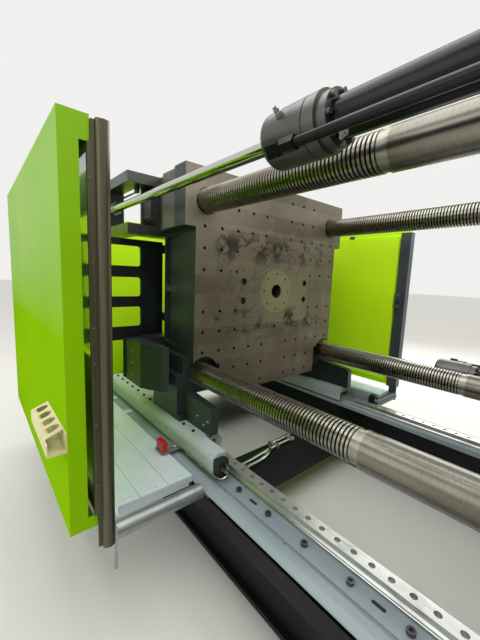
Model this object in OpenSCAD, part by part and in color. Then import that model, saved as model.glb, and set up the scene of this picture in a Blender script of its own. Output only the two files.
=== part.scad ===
/* [Machine] */
// Height of the platen centre over the floor
centre_h = 1550; // [1500:10:1620]
// Clear distance between the two platen faces with the clamp open
daylight = 2000; // [1990:5:2100]
// Height of the machine pads under the bed
pad_h = 25; // [15:1:60]
// Running clearance between sliding steel faces
slide_gap = 0.3; // [0.2:0.05:0.6]

/* [Platens] */
// Width of the machined face between the lower tie bars
face_w = 1536; // [1500:2:1600]
// Width of the face across the upper ears
ear_w = 1696; // [1680:2:1740]
// Height of the face above the platen centre
face_top = 783; // [770:1:800]
// Height of the upper ears
ear_h = 373; // [330:1:400]
// Depth of the face below the platen centre
face_bottom = 750; // [735:1:770]
// Width of the face at its lower edge
toe_w = 1098; // [1060:2:1110]
// Radius of the lower corner notches round the tie bars
notch_r = 125; // [110:1:135]
// Thickness of the machined face plate
face_t = 140; // [120:1:170]
// Thickness of the moving platen
platen_t = 430; // [400:5:460]
// Thickness of the fixed platen
fixed_t = 420; // [380:5:460]
// Spacing of the mould clamping holes
hole_pitch = 140; // [130:1:145]
// Diameter of a mould clamping hole
hole_d = 22; // [16:1:30]
// Depth of a mould clamping hole
hole_depth = 50; // [30:1:70]
// Diameter of an ejector rod hole
ejector_hole_d = 52; // [48:1:60]
// Diameter of the bore in the middle of the moving platen
centre_bore_d = 108; // [90:1:125]
// Thickness of the ribs behind the platen face
rib_t = 60; // [40:1:80]

/* [Tie bars] */
// Distance between tie bar centres, front to rear
bar_span_y = 1370; // [1360:2:1400]
// Distance between tie bar centres, bottom to top
bar_span_z = 1152; // [1140:2:1170]
// Diameter of the smooth part of a tie bar
bar_d = 158; // [150:1:162]
// Diameter over the lock ridges
crest_d = 154; // [148:1:158]
// Depth of a lock groove
groove_depth = 7; // [5:0.5:9]
// Distance from one lock groove to the next
groove_pitch = 19; // [19:0.5:22]
// Width of a lock ridge at its crest
crest_w = 10.5; // [8:0.5:12]
// Slant of a ridge flank along the bar
flank_w = 2; // [1:0.5:3]
// Number of lock grooves on a bar
grooves = 94; // [92:1:96]
// Distance from the open platen face to the last groove
groove_reach = 1150; // [1140:1:1180]
// Diameter of the bar clearance holes in the moving platen
bar_hole_d = 166; // [164:1:172]

/* [Split lock nuts] */
// Length of a split nut along the bar
nut_l = 126; // [114:1:130]
// Half height of a split nut
nut_half_h = 135; // [125:1:140]
// Reach of a closed nut half from the bar centre
nut_reach = 150; // [140:1:160]
// Travel of a nut half from open to locked
lock_travel = 42; // [40:1:44]
// Thickness of the plates over and under a nut
housing_t = 69; // [50:1:75]
// Thickness of the keeper plate behind a nut
keeper_t = 30; // [20:1:40]
// Diameter of a draw rod of the nut clamp
draw_rod_d = 24; // [20:1:30]

/* [Traverse cylinders] */
// Distance of the cylinder axis from the machine centre line
ram_y = 1000; // [995:1:1010]
// Height of the front cylinder axis over the platen centre
ram_z = 581; // [578:1:584]
// Piston rod diameter
ram_rod_d = 54; // [50:1:60]
// Cylinder tube diameter
ram_tube_d = 119; // [115:1:122]
// Cylinder head diameter
ram_head_d = 188; // [182:2:192]
// Distance from the open platen face to the cylinder head
ram_head_x = 900; // [890:1:905]
// Length of the cylinder head drum
ram_head_l = 230; // [220:1:235]
// Distance of the rod anchor behind the moving platen face
anchor_back = 880; // [870:1:900]

/* [Bed and guides] */
// Depth of the bed top under the platen centre
bed_drop = 1020; // [1005:1:1025]
// Distance of a guide rail from the centre line
rail_y = 770; // [765:1:775]
// Rail width
rail_w = 63; // [60:1:65]
// Rail height
rail_h = 53; // [48:1:56]
// Spacing of the rail screws
rail_pitch = 75; // [75:1:90]
// Outer edge of the bed deck from the centre line
deck_y = 985; // [980:1:990]
// Length of the bed behind the open platen face
bed_back = 1640; // [1620:5:1700]
// Length of a guide shoe ahead of the open platen face
shoe_lead = 440; // [430:1:445]
// Length of a guide shoe behind the open platen face
shoe_back = 1290; // [1270:1:1300]
// Height of the guide shoe top over the bed top
shoe_h = 134; // [130:1:138]
// Height of the walkway top under the platen centre
walkway_drop = 1008; // [1004:1:1012]
// Outer edge of the walkway from the centre line
walkway_y = 1400; // [1390:1:1410]

/* [Guard doors] */
// Distance of the front door skin from the centre line
front_skin_y = 1650; // [1640:1:1660]
// Length of the front door
front_door_l = 1650; // [1600:5:1660]
// Position of the open front door's leading edge
front_door_x = 598; // [590:1:610]
// Height of the door tops over the platen centre
door_top = 598; // [580:1:610]
// Depth of the door bottoms under the platen centre
door_drop = 861; // [840:1:880]
// Depth of the front door shell
door_t = 95; // [90:1:100]
// Thickness of door sheet metal
sheet_t = 4; // [3:0.5:6]
// Distance of the rear door skin from the centre line
rear_skin_y = 1470; // [1460:1:1480]
// Length of the rear door
rear_door_l = 1500; // [1450:5:1550]

/* [Injection unit] */
// Length of the injection base behind the fixed platen
base_l = 4150; // [4100:10:4300]
// Depth of the injection base top under the platen centre
base_drop = 540; // [520:5:560]
// Length of the injection slide
slide_l = 1560; // [1540:5:1600]
// Distance of the drive housing behind the slide's front end
drive_offset = 900; // [880:5:920]
// Outer diameter of the plasticising barrel
barrel_d = 260; // [240:2:280]
// Diameter of the screw
screw_d = 105; // [95:1:115]
// Distance the nozzle is drawn back from the sprue
nozzle_back = 350; // [320:5:380]
// Number of heater bands on the barrel
bands = 9; // [7:1:10]
// Width of the hopper at its rim
hopper_w = 620; // [560:10:680]

/* [Hidden] */
$fn = 48;

// Colours
black_paint = "#14181a";
cast_paint = "#1d2a2a";
machined = "#7d7468";
bright_steel = "#b9b7b0";
bar_steel = "#8f8a80";
dark_steel = "#34383c";
deck_paint = "#3b4350";
shoe_paint = "#a7b0ae";
guard_green = "#86c80c";
bronze = "#4a473e";
beige = "#d9d2a4";
grey_paint = "#8d9398";
zinc = "#9aa0a4";

// Tie bar and lock values
bar_y = bar_span_y / 2;
bar_z = bar_span_z / 2;
crest_r = crest_d / 2;
root_r = crest_r - groove_depth;
groove_start = groove_reach - grooves * groove_pitch;
bar_tail = groove_start + 4;
fixed_x = daylight;
fixed_back = daylight + fixed_t;
bar_nut_t = 120;
bar_end = fixed_back + bar_nut_t + 16;
nut_x1 = -platen_t - 1;
nut_x0 = nut_x1 - nut_l;
keeper_x1 = nut_x0 - 1;
keeper_x0 = keeper_x1 - keeper_t;
housing_in = nut_half_h + slide_gap;
housing_out = housing_in + housing_t;
housing_y0 = bar_y - nut_reach - lock_travel - 14;
housing_y1 = bar_y + nut_reach + lock_travel + 8;
nut_rest_gap = lock_travel + slide_gap;

// Traverse cylinder values
relief_d = ram_head_d + 18;
arm_y0 = ram_y - 78;
arm_y1 = ram_y + 42;
anchor_t = 60;
head_x1 = ram_head_x + ram_head_l;
flange_t = 35;
tube_end = fixed_back + 400;
piston_x = head_x1 + flange_t;

// Bed, guide and shoe values
bed_top = centre_h - bed_drop;
shoe_top = bed_top + shoe_h;
base_top = centre_h - base_drop;
web_y0 = 700;
web_y1 = 850;
deck_y0 = 690;
deck_t = 40;
lip_z = bed_top - 27;
rail_x0 = -bed_back + 120;
rail_x1 = daylight - 14;
rail_top = bed_top + rail_h;
block_w = 126;
block_top = shoe_top - 44;
shoe_y0 = rail_y - block_w / 2 - 17;
shoe_y1 = rail_y + 135;
shoe_low = bed_top + 18;
track_top = lip_z - 21;
track_low = track_top - 96;
track_y0 = deck_y - 30;
arm_low = track_top + 3;
bed_end = fixed_back + 20;
arm_x = fixed_x + 120;
arm_y = -1600;
arm_z = centre_h + 380;
pump_floor_y = 660;
guard_low = 120;
guard_top = centre_h + 640;
pump_floor_z = bed_top + 40;
foot_y0 = rail_y - 35;
foot_y1 = rail_y + 80;
walkway_top = centre_h - walkway_drop;
walkway_x1 = 365;
screen_x1 = keeper_x0 - 10;
screen_t = 20;
screen_x0 = screen_x1 - screen_t;
screen_top = 350;
screen_low = -403;

// Door values
door_z0 = centre_h - door_drop;
door_z1 = centre_h + door_top;
door_x0 = front_door_x - front_door_l;
frame_y = front_skin_y - 108;
frame_low = centre_h - 950;
frame_top = door_z1 - 13;
tube_z = centre_h - 1050;
rear_x1 = 430;
rear_x0 = rear_x1 - rear_door_l;

// Injection values
base_x0 = bed_end;
base_x1 = base_x0 + base_l;
barrel_front = fixed_x + 150 + nozzle_back;
barrel_x0 = barrel_front + 130;
barrel_x1 = barrel_x0 + 1750;
barrel_r = barrel_d / 2;
slide_z = base_top + 58;
slide_x0 = barrel_x1 - 260;
slide_x1 = slide_x0 + slide_l;
drive_x0 = slide_x0 + drive_offset;
hopper_x = barrel_x1 - 90;
hopper_z = centre_h + 310;
hopper_h = 560;
lid_t = 16;
stroke_y = 330;
screw_shaft_r = screw_d * 0.3;
cabinet_mid = base_x1 - 620;
cabinet_y = -1180;
leaf_x = base_x1 - 1232;
hinge_z = [360, centre_h + 60];

// Origin: middle of the outline, on the floor
x_min = -bed_back - 60;
x_max = base_x1;
y_min = -front_skin_y - 62;
y_max = rear_skin_y + 2;
mid_x = (x_min + x_max) / 2;
mid_y = (y_min + y_max) / 2;

module at_origin() { translate([-mid_x, -mid_y, 0]) children(); }

// A copy on each side of the machine
module both_sides() {
    children();
    mirror([0, 1, 0]) children();
}

// Children stand at a corner of the tie bar square: side and level are 1 or -1
module at_bar(side, level) {
    translate([0, side * bar_y, centre_h + level * bar_z]) children();
}

// An outline given in y and z, run along x
module run_x(x0, x1) {
    translate([x0, 0, 0]) rotate([90, 0, 90]) linear_extrude(x1 - x0) children();
}

// An outline given in x and z, run along y
module run_y(y0, y1) {
    translate([0, y1, 0]) rotate([90, 0, 0]) linear_extrude(y1 - y0) children();
}

module box(x0, x1, y0, y1, z0, z1) {
    translate([x0, y0, z0]) cube([x1 - x0, y1 - y0, z1 - z0]);
}

module rod_x(r, x0, x1) { translate([x0, 0, 0]) rotate([0, 90, 0]) cylinder(r = r, h = x1 - x0); }

module rod_y(r, y0, y1) { translate([0, y1, 0]) rotate([90, 0, 0]) cylinder(r = r, h = y1 - y0); }

module rounded(w, h, r) {
    square([w - 2 * r, h], center = true);
    square([w, h - 2 * r], center = true);
    for (sx = [-1, 1], sy = [-1, 1])
        translate([sx * (w / 2 - r), sy * (h / 2 - r)]) circle(r);
}

// Hexagon socket screw head standing on z = 0
module socket_screw(d) {
    difference() {
        cylinder(d = d * 1.5, h = d * 0.7);
        translate([0, 0, d * 0.3]) cylinder(d = d * 0.86, h = d, $fn = 6);
    }
}

// Bed

module deck_outline() {
    polygon([
        [deck_y0, bed_top - deck_t], [deck_y0, bed_top], [deck_y - 85, bed_top],
        [deck_y - 85, bed_top - 9], [deck_y - 68, bed_top - 9], [deck_y - 68, bed_top - 2],
        [deck_y - 27, bed_top - 2], [deck_y, bed_top - 19], [deck_y, lip_z],
        [web_y1 + 10, lip_z], [web_y1 + 10, bed_top - deck_t]]);
}

module bed_gusset(x) {
    translate([x, 0, 0])
        run_x(0, 16)
            polygon([[web_y1, track_low - 90], [web_y1, bed_top - deck_t],
                     [track_y0, lip_z - 42], [track_y0, track_low]]);
}

module bed_cross(x, w, low, high) {
    difference() {
        box(x, x + w, -web_y0, web_y0, low, high);
        for (y = [-420, 0, 420])
            translate([0, y, (low + high) / 2])
                run_x(x - 1, x + 30) rounded(260, high - low - 60, 20);
    }
}

module bed_frame() {
    color(deck_paint) at_origin() {
        both_sides() {
            run_x(-bed_back, bed_end) deck_outline();
            box(-bed_back, bed_end, web_y0, web_y1, pad_h + 25, bed_top - deck_t);
            box(-bed_back, bed_end, web_y0 - 40, web_y1 + 40, pad_h, pad_h + 25);
            for (x = [-bed_back + 40 : 400 : bed_end - 60]) bed_gusset(x);
        }
        bed_cross(-bed_back, 160, 200, bed_top - deck_t);
        bed_cross(200, 200, 200, 400);
        bed_cross(fixed_x + 40, bed_end - fixed_x - 40, 200, bed_top - deck_t);
        // Raised floor sheet behind the platen, on its own side legs
        for (y = [-pump_floor_y, pump_floor_y - 12])
            box(-bed_back, -880, y, y + 12, bed_top - deck_t - 20, pump_floor_z);
        box(-bed_back, -880, -pump_floor_y, pump_floor_y, pump_floor_z - 12, pump_floor_z);
        for (x = [-1480, -900])
            box(x, x + 20, -web_y0 - 1, web_y0 + 1, bed_top - deck_t - 20, bed_top - deck_t + 20);
    }
}

module levelling_pads() {
    color(dark_steel) at_origin()
        for (x = [-bed_back + 110, -700, 300, 1300, fixed_back - 120], side = [-1, 1])
            translate([x, side * (web_y0 + web_y1) / 2, 0]) {
                cylinder(r = 85, h = pad_h * 0.6);
                cylinder(r = 60, h = pad_h);
            }
}

module rail_outline() {
    w = rail_w / 2;
    polygon([[-w, 0], [w, 0], [w, 15], [w - 6.5, 23], [w - 6.5, 32], [w, 40], [w, rail_h],
             [-w, rail_h], [-w, 40], [-w + 6.5, 32], [-w + 6.5, 23], [-w, 15]]);
}

module guide_rails() {
    color(bright_steel) at_origin() both_sides() difference() {
        translate([0, rail_y, bed_top]) run_x(rail_x0, rail_x1) rail_outline();
        for (x = [rail_x0 + 40 : rail_pitch : rail_x1 - 20])
            translate([x, rail_y, rail_top - 22]) cylinder(r = 13, h = 30);
    }
}

module deck_screws() {
    color(dark_steel) at_origin() both_sides()
        for (x = [-bed_back + 90 : 216 : daylight - 30])
            translate([x, deck_y - 132, bed_top]) socket_screw(20);
}

module position_rods() {
    color(bright_steel) at_origin() both_sides() {
        translate([0, rail_y + rail_w / 2 + 4.8, bed_top + 11]) rod_x(4, rail_x0, rail_x1);
        for (x = [rail_x0, rail_x1 - 12])
            box(x, x + 12, rail_y + rail_w / 2 + 0.8, rail_y + rail_w / 2 + 14, bed_top, bed_top + 6);
    }
}

// Platens

// Machined face in y and z about the platen centre
module face_outline() {
    difference() {
        polygon([
            [-ear_w / 2, face_top], [-ear_w / 2, face_top - ear_h],
            [-face_w / 2 - 8, face_top - ear_h], [-face_w / 2, face_top - ear_h - 8],
            [-face_w / 2, -bar_z + 60], [-toe_w / 2, -bar_z + 60],
            [-toe_w / 2, -face_bottom], [toe_w / 2, -face_bottom],
            [toe_w / 2, -bar_z + 60], [face_w / 2, -bar_z + 60],
            [face_w / 2, face_top - ear_h - 8], [face_w / 2 + 8, face_top - ear_h],
            [ear_w / 2, face_top - ear_h], [ear_w / 2, face_top]]);
        for (side = [-1, 1]) translate([side * bar_y, -bar_z]) circle(notch_r);
    }
}

// Columns of clamping holes on each row, counted from the centre
hole_rows = [[5, [1, 2, 3]], [4, [1, 2, 3]], [3, [1, 2, 3, 4, 5]],
             [2, [3, 4, 5]], [1, [3, 4, 5]]];

module clamp_holes() {
    for (row = hole_rows, col = row[1], sy = [-1, 1], sz = [-1, 1])
        translate([0, sy * col * hole_pitch, centre_h + sz * row[0] * hole_pitch])
            rod_x(hole_d / 2, -hole_depth, 1);
    translate([0, 0, centre_h - 2 * hole_pitch]) rod_x(hole_d / 2, -hole_depth, 1);
}

module ejector_places() {
    for (sy = [-2.5, 2.5], sz = [-0.5, 0.5])
        translate([0, sy * hole_pitch, centre_h + sz * hole_pitch]) children();
}

// Pockets between the ribs, seen from behind the platen
module rib_pockets(x0, x1) {
    bay_y = (face_w - 2 * rib_t - 2 * rib_t) / 3;
    bay_z = (2 * bar_z - 3 * rib_t) / 3;
    for (col = [-1, 0, 1], row = [-1, 0, 1])
        if (col != 0 || row != 0)
            translate([0, col * (bay_y + rib_t), centre_h + row * (bay_z + rib_t)])
                run_x(x0, x1) rounded(bay_y, bay_z, 50);
}

module side_recess(x0, x1, z0, z1) {
    translate([(x0 + x1) / 2, 0, centre_h + (z0 + z1) / 2])
        run_y(face_w / 2 - 30, face_w / 2 + 2) rounded(x1 - x0, z1 - z0, 28);
}

// Foot web under a lower tie bar, with its nose over the guide shoe
module platen_foot() {
    bar_low = centre_h - bar_z;
    box(-platen_t, -70, foot_y0, foot_y1, shoe_top, bar_low);
    run_y(rail_y - 25, rail_y + 30) {
        polygon([[-platen_t, shoe_top], [-platen_t, bar_low - 100], [-140, bar_low - 100],
                 [225, centre_h - 707], [236, centre_h - 712], [236, shoe_top]]);
        translate([236, centre_h - 737]) circle(30);
        translate([236, shoe_top]) square([30, centre_h - 737 - shoe_top]);
    }
    box(-platen_t, -30, foot_y0, foot_y1, shoe_top, shoe_top + 34);
}

module moving_platen() {
    color(cast_paint) at_origin() difference() {
        union() {
            translate([0, 0, centre_h]) run_x(-face_t, 0) face_outline();
            box(-platen_t, -face_t, -face_w / 2 + 4, face_w / 2 - 4,
                centre_h - bar_z - 20, centre_h + bar_z + 20);
            both_sides() {
                // Upper ears and lower corner bosses
                box(-platen_t, -face_t, bar_y - 120, ear_w / 2 - 48,
                    centre_h + face_top - ear_h, centre_h + face_top);
                box(-platen_t + 117, -face_t, bar_y, ear_w / 2 - 6,
                    centre_h + face_top - ear_h, centre_h + face_top - 10);
                box(-platen_t, -70, bar_y - 130, bar_y + 118,
                    centre_h - bar_z - 138, centre_h - bar_z + 118);
                platen_foot();
            }
            box(-platen_t, -face_t, -toe_w / 2 + 30, toe_w / 2 - 30,
                centre_h - face_bottom + 20, centre_h - bar_z);
            box(-platen_t, -face_t, -bar_y, bar_y,
                centre_h + bar_z, centre_h + face_top - 60);
        }
        clamp_holes();
        translate([0, 0, centre_h]) rod_x(centre_bore_d / 2, -platen_t - 1, 1);
        for (k = [0 : 7])
            translate([0, 139 * cos(45 * k), centre_h + 139 * sin(45 * k)])
                rod_x(8, -hole_depth, 1);
        ejector_places() rod_x(ejector_hole_d / 2, -platen_t - 1, 1);
        for (side = [-1, 1], level = [-1, 1])
            at_bar(side, level) rod_x(bar_hole_d / 2, -platen_t - 1, 1);
        rib_pockets(-platen_t - 1, -face_t - rib_t);
        both_sides() {
            side_recess(-platen_t + 12, -198, 20, 372);
            side_recess(-platen_t + 12, -198, -404, -22);
        }
    }
}

module fixed_platen() {
    color(cast_paint) at_origin() difference() {
        union() {
            translate([fixed_x + face_t, 0, centre_h]) mirror([1, 0, 0])
                run_x(0, face_t) face_outline();
            box(fixed_x + face_t, fixed_back, -face_w / 2 + 4, face_w / 2 - 4,
                centre_h - bar_z - 20, centre_h + bar_z + 20);
            both_sides() {
                box(fixed_x + 70, fixed_back, bar_y - 130, bar_y + 130,
                    centre_h - bar_z - 138, centre_h + bar_z + 138);
                box(fixed_x + 60, fixed_back, web_y0, web_y1 - 40, bed_top,
                    centre_h - bar_z - 100);
            }
            box(fixed_x + face_t, fixed_back, -toe_w / 2 + 30, toe_w / 2 - 30,
                centre_h - face_bottom + 20, centre_h - bar_z);
        }
        translate([fixed_x, 0, 0]) mirror([1, 0, 0]) clamp_holes();
        translate([0, 0, centre_h]) {
            rod_x(62.5, fixed_x - 1, fixed_x + 40);
            rod_x(50, fixed_x - 1, fixed_back + 1);
            rod_x(230, fixed_x + 200, fixed_back + 1);
        }
        for (side = [-1, 1], level = [-1, 1])
            at_bar(side, level) rod_x(bar_d / 2 + slide_gap, fixed_x - 1, fixed_back + 1);
        rib_pockets(fixed_x + face_t + rib_t, fixed_back + 1);
    }
}

// Tie bars and their split nuts

// Half section of the ridged bar: radius and place along the bar, swollen by gap
function ridge_points(gap, n) = [
    for (k = [0 : n - 1])
        let (c = groove_start + (k + 0.5) * groove_pitch, top = crest_w / 2 + gap)
        each [[root_r + gap, c - top - flank_w], [crest_r + gap, c - top],
              [crest_r + gap, c + top], [root_r + gap, c + top + flank_w]]];

module ridged_bar(gap, n, x0, x1) {
    rotate([0, 90, 0]) rotate_extrude()
        polygon(concat([[0, x0], [root_r + gap, x0]], ridge_points(gap, n),
                       [[root_r + gap, x1], [0, x1]]));
}

module tie_bar() {
    neck_x = groove_reach + 30;
    ridged_bar(0, grooves, bar_tail - 14, groove_reach);
    rod_x(crest_r - 3, groove_reach, neck_x);
    rod_x(bar_d / 2, neck_x, bar_end);
}

module tie_bars() {
    color(bar_steel) at_origin()
        for (side = [-1, 1], level = [-1, 1]) at_bar(side, level) tie_bar();
}

module tie_bar_nuts() {
    color(dark_steel) at_origin()
        for (side = [-1, 1], level = [-1, 1]) at_bar(side, level) difference() {
            union() {
                rod_x(bar_d / 2 + 50, fixed_back, fixed_back + 24);
                rod_x(bar_d / 2 + 36, fixed_back + 24, fixed_back + bar_nut_t);
            }
            rod_x(bar_d / 2 + slide_gap, fixed_back - 1, fixed_back + bar_nut_t + 1);
            for (a = [0 : 60 : 300]) rotate([a, 0, 0]) translate([0, 0, bar_d / 2 + 36])
                rod_x(11, fixed_back + 70, fixed_back + bar_nut_t + 1);
        }
}

module draw_places() {
    for (level = [-1, 1]) translate([(nut_x0 + nut_x1) / 2, 0, level * (nut_half_h - 30)])
        children();
}

// One half of a split nut, away from the bar by its open travel; outer = 1, inner = -1
module nut_half(outer) {
    translate([0, outer * nut_rest_gap, 0]) difference() {
        intersection() {
            box(nut_x0, nut_x1, -nut_reach, nut_reach, -nut_half_h, nut_half_h);
            rod_x(nut_reach * 1.12, nut_x0, nut_x1);
            box(nut_x0, nut_x1, min(0, outer * 200), max(0, outer * 200), -200, 200);
        }
        ridged_bar(0.5, ceil((nut_x1 - groove_start) / groove_pitch) + 1,
                   nut_x0 - 20, groove_start + 400);
        if (outer < 0) draw_places() rod_y(draw_rod_d / 2 + 1, -300, 10);
    }
}

module lock_nut_pair(side, outer) {
    for (level = [-1, 1]) at_bar(side, level) nut_half(side * outer);
}

module lock_nuts_front_outer() { color(dark_steel) at_origin() mirror([0, 1, 0]) lock_nut_pair(1, 1); }

module lock_nuts_front_inner() { color(dark_steel) at_origin() mirror([0, 1, 0]) lock_nut_pair(1, -1); }

module lock_nuts_rear_outer() { color(dark_steel) at_origin() lock_nut_pair(1, 1); }

module lock_nuts_rear_inner() { color(dark_steel) at_origin() lock_nut_pair(1, -1); }

// Guide plates and keeper of one nut, bolted behind the platen
module lock_housing() {
    difference() {
        union() {
            for (z = [housing_in, -housing_out])
                box(keeper_x0, -platen_t, housing_y0 - bar_y, housing_y1 - bar_y, z, z + housing_t);
            box(keeper_x0, keeper_x1, housing_y0 - bar_y, housing_y1 - bar_y,
                -housing_out, housing_out);
        }
        rod_x(bar_hole_d / 2 + 6, keeper_x0 - 1, keeper_x1 + 1);
    }
}

// Arms that straddle the traverse cylinder and hold its rod
module rod_arms() {
    difference() {
        union() {
            for (z = [housing_in, -housing_out])
                box(-anchor_back, -platen_t, arm_y0, arm_y1, bar_z + z, bar_z + z + housing_t);
            for (z = [housing_in, -housing_out])
                box(keeper_x0, -platen_t, housing_y1 - 1, arm_y0 + 1, bar_z + z, bar_z + z + housing_t);
            box(-anchor_back, -anchor_back + anchor_t, arm_y0, arm_y1,
                bar_z - housing_out, bar_z + housing_out);
        }
        translate([0, ram_y, ram_z]) {
            rod_x(relief_d / 2, -anchor_back + anchor_t + 30, 1);
            rod_x(ram_rod_d / 2 + slide_gap, -anchor_back - 1, 1);
        }
    }
}

module lock_housings() {
    color(dark_steel) at_origin() {
        for (side = [-1, 1], level = [-1, 1]) at_bar(side, level)
            scale([1, side, 1]) lock_housing();
        translate([0, 0, centre_h]) {
            mirror([0, 1, 0]) rod_arms();
            mirror([0, 0, 1]) rod_arms();
        }
    }
}

yoke_y = -nut_reach - 200;
yoke_t = 24;

// Floating cylinder with its yoke and draw rods, which pull the outer half
module lock_drive() {
    translate([0, nut_rest_gap, 0]) {
        draw_places() rod_y(draw_rod_d / 2, yoke_y, 0);
        translate([(nut_x0 + nut_x1) / 2, 0, 0]) {
            box(-45, 45, yoke_y - yoke_t, yoke_y, -nut_half_h + 6, nut_half_h - 6);
            difference() {
                union() {
                    rod_y(42, yoke_y - 1, yoke_y + 110);
                    rod_y(50, yoke_y + 92, yoke_y + 110);
                }
                rod_y(18 + slide_gap, yoke_y + 12, yoke_y + 111);
            }
        }
    }
}

module lock_drives_front() {
    color(black_paint) at_origin() mirror([0, 1, 0])
        for (level = [-1, 1]) at_bar(1, level) lock_drive();
}

module lock_drives_rear() {
    color(black_paint) at_origin() for (level = [-1, 1]) at_bar(1, level) lock_drive();
}

module lock_rod() {
    translate([(nut_x0 + nut_x1) / 2, 0, 0])
        rod_y(18, yoke_y + nut_rest_gap + 16, -nut_reach - nut_rest_gap);
}

module lock_rods_front() {
    color(bright_steel) at_origin() mirror([0, 1, 0])
        for (level = [-1, 1]) at_bar(1, level) lock_rod();
}

module lock_rods_rear() {
    color(bright_steel) at_origin() for (level = [-1, 1]) at_bar(1, level) lock_rod();
}

// Bolted covers outside the lower nuts
module lock_covers() {
    cover_y = housing_y1;
    color(black_paint) at_origin() translate([0, 0, centre_h - bar_z]) {
        mirror([0, 1, 0]) lock_cover(cover_y, 1010);
    }
}

module lock_cover(y0, y1) {
    difference() {
        translate([0, 0, -120]) linear_extrude(310)
            polygon([[keeper_x0, y0], [keeper_x0, y1], [-300, y1], [-150, y0 + 40], [-120, y0]]);
        translate([0, 0, -116]) linear_extrude(302)
            polygon([[keeper_x0 + 4, y0 - 1], [keeper_x0 + 4, y1 - 4], [-302, y1 - 4],
                     [-154, y0 + 38], [-126, y0 - 1]]);
    }
    for (z = [-80, 20, 120]) translate([keeper_x0 + 20, y1, z]) rotate([-90, 0, 0])
        cylinder(r = 9, h = 8);
}

// Screens that move with the platen and close the gap to the guards
module safety_screen(low) {
    inner = face_w / 2 - 70;
    outer = walkway_y - 70;
    window_y0 = 878;
    window_y1 = 1285;
    windows = [[152, 301], [-75, 69], [-303, -154]];
    difference() {
        box(screen_x0, screen_x1, inner, outer, centre_h + low, centre_h + screen_top);
        for (w = windows)
            translate([0, (window_y0 + window_y1) / 2, centre_h + (w[0] + w[1]) / 2])
                run_x(screen_x0 - 1, screen_x1 + 1)
                    rounded(window_y1 - window_y0, w[1] - w[0], 22);
    }
    for (z = [low + 20, 100, screen_top - 36])
        box(screen_x0 - 40, screen_x0, inner, outer, centre_h + z, centre_h + z + 12);
    // Brackets to the keeper plates
    for (z = [-260, 260])
        box(screen_x1, -platen_t, inner, inner + 40, centre_h + z, centre_h + z + 60);
}

module safety_screens() {
    color(black_paint) at_origin() {
        mirror([0, 1, 0]) safety_screen(screen_low);
        safety_screen(-350);
    }
}

// Guide shoes

module shoe_outline() {
    difference() {
        union() {
            polygon([[shoe_y0, shoe_low], [shoe_y0, shoe_top], [shoe_y1 - 45, shoe_top],
                     [shoe_y1, shoe_top - 45], [shoe_y1, shoe_low]]);
            translate([shoe_y1 - 45, shoe_top - 45]) circle(45);
        }
        translate([rail_y - block_w / 2 - slide_gap, shoe_low - 1])
            square([block_w + 2 * slide_gap, block_top - shoe_low + 1]);
    }
}

module guide_shoes() {
    color(shoe_paint) at_origin() both_sides() difference() {
        run_x(-shoe_back, shoe_lead) shoe_outline();
        // Its inner side ends ahead of the foot, so the rail shows there
        box(shoe_lead - 215, shoe_lead + 1, shoe_y0 - 1, shoe_y1 - 89, shoe_low - 1, shoe_top + 1);
    }
}

block_places = [-1180, -420, -30];

module runner_blocks() {
    color(dark_steel) at_origin() both_sides()
        for (x = block_places) difference() {
            box(x, x + 250, rail_y - block_w / 2, rail_y + block_w / 2,
                bed_top + 20, block_top);
            box(x - 1, x + 251, rail_y - rail_w / 2 - slide_gap, rail_y + rail_w / 2 + slide_gap,
                bed_top + 19, rail_top + slide_gap);
        }
}

module shoe_end_blocks() {
    color(black_paint) at_origin() both_sides() {
        box(shoe_lead, shoe_lead + 52, shoe_y1 - 72, shoe_y1 - 4, shoe_low, shoe_top - 22);
        box(shoe_lead, shoe_lead + 30, rail_y + rail_w / 2 + 20, shoe_y1 - 60,
            rail_top - 20, shoe_top - 30);
        for (z = [shoe_low + 22, shoe_top - 46])
            translate([0, shoe_y1 - 40, z]) rod_x(9, shoe_lead + 52, shoe_lead + 70);
    }
}

// Traverse cylinders

module head_profile() {
    r = ram_head_d / 2;
    polygon(concat([[ram_rod_d / 2 + slide_gap, ram_head_x]],
        [for (a = [0 : 15 : 90]) [r - 22 + 22 * sin(a), ram_head_x + 22 - 22 * cos(a)]],
        [[r, head_x1 - 48], [r - 3, head_x1 - 48], [r - 3, head_x1 - 43], [r, head_x1 - 43],
         [r, head_x1], [ram_tube_d / 2 - 12, head_x1], [ram_tube_d / 2 - 12, ram_head_x + 150],
         [ram_rod_d / 2 + slide_gap, ram_head_x + 150]]));
}

module traverse_head() {
    rotate([0, 90, 0]) rotate_extrude() head_profile();
    difference() {
        rod_x(ram_tube_d / 2 + 24, head_x1, head_x1 + flange_t);
        rod_x(ram_tube_d / 2 - 12, head_x1 - 1, head_x1 + 11);
        rod_x(ram_tube_d / 2 + slide_gap, head_x1 + 10, head_x1 + flange_t + 1);
    }
    for (a = [5 : 45 : 320]) rotate([a, 0, 0]) translate([0, 0, ram_tube_d / 2 + 12.5])
        rod_x(9, head_x1 + flange_t - 1, head_x1 + flange_t + 13);
}

// One cylinder above the front side, its twin below at the rear
module ram_places() {
    translate([0, -ram_y, centre_h + ram_z]) children();
    translate([0, ram_y, centre_h - ram_z]) rotate([180, 0, 0]) children();
}

module traverse_heads() { color(dark_steel) at_origin() ram_places() traverse_head(); }

// Tube with its end cap and the bracket that ties it to the fixed platen
module traverse_tube() {
    bracket_x = fixed_x + face_t + 30;
    difference() {
        union() {
            rod_x(ram_tube_d / 2, head_x1 + 10, tube_end);
            rod_x(ram_tube_d / 2 + 26, tube_end - 60, tube_end);
            box(bracket_x, bracket_x + 120, -70, ram_y - bar_y - 130, -38, 90);
        }
        rod_x(ram_tube_d / 2 - 12, head_x1 + 9, tube_end - 40);
    }
}

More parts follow.
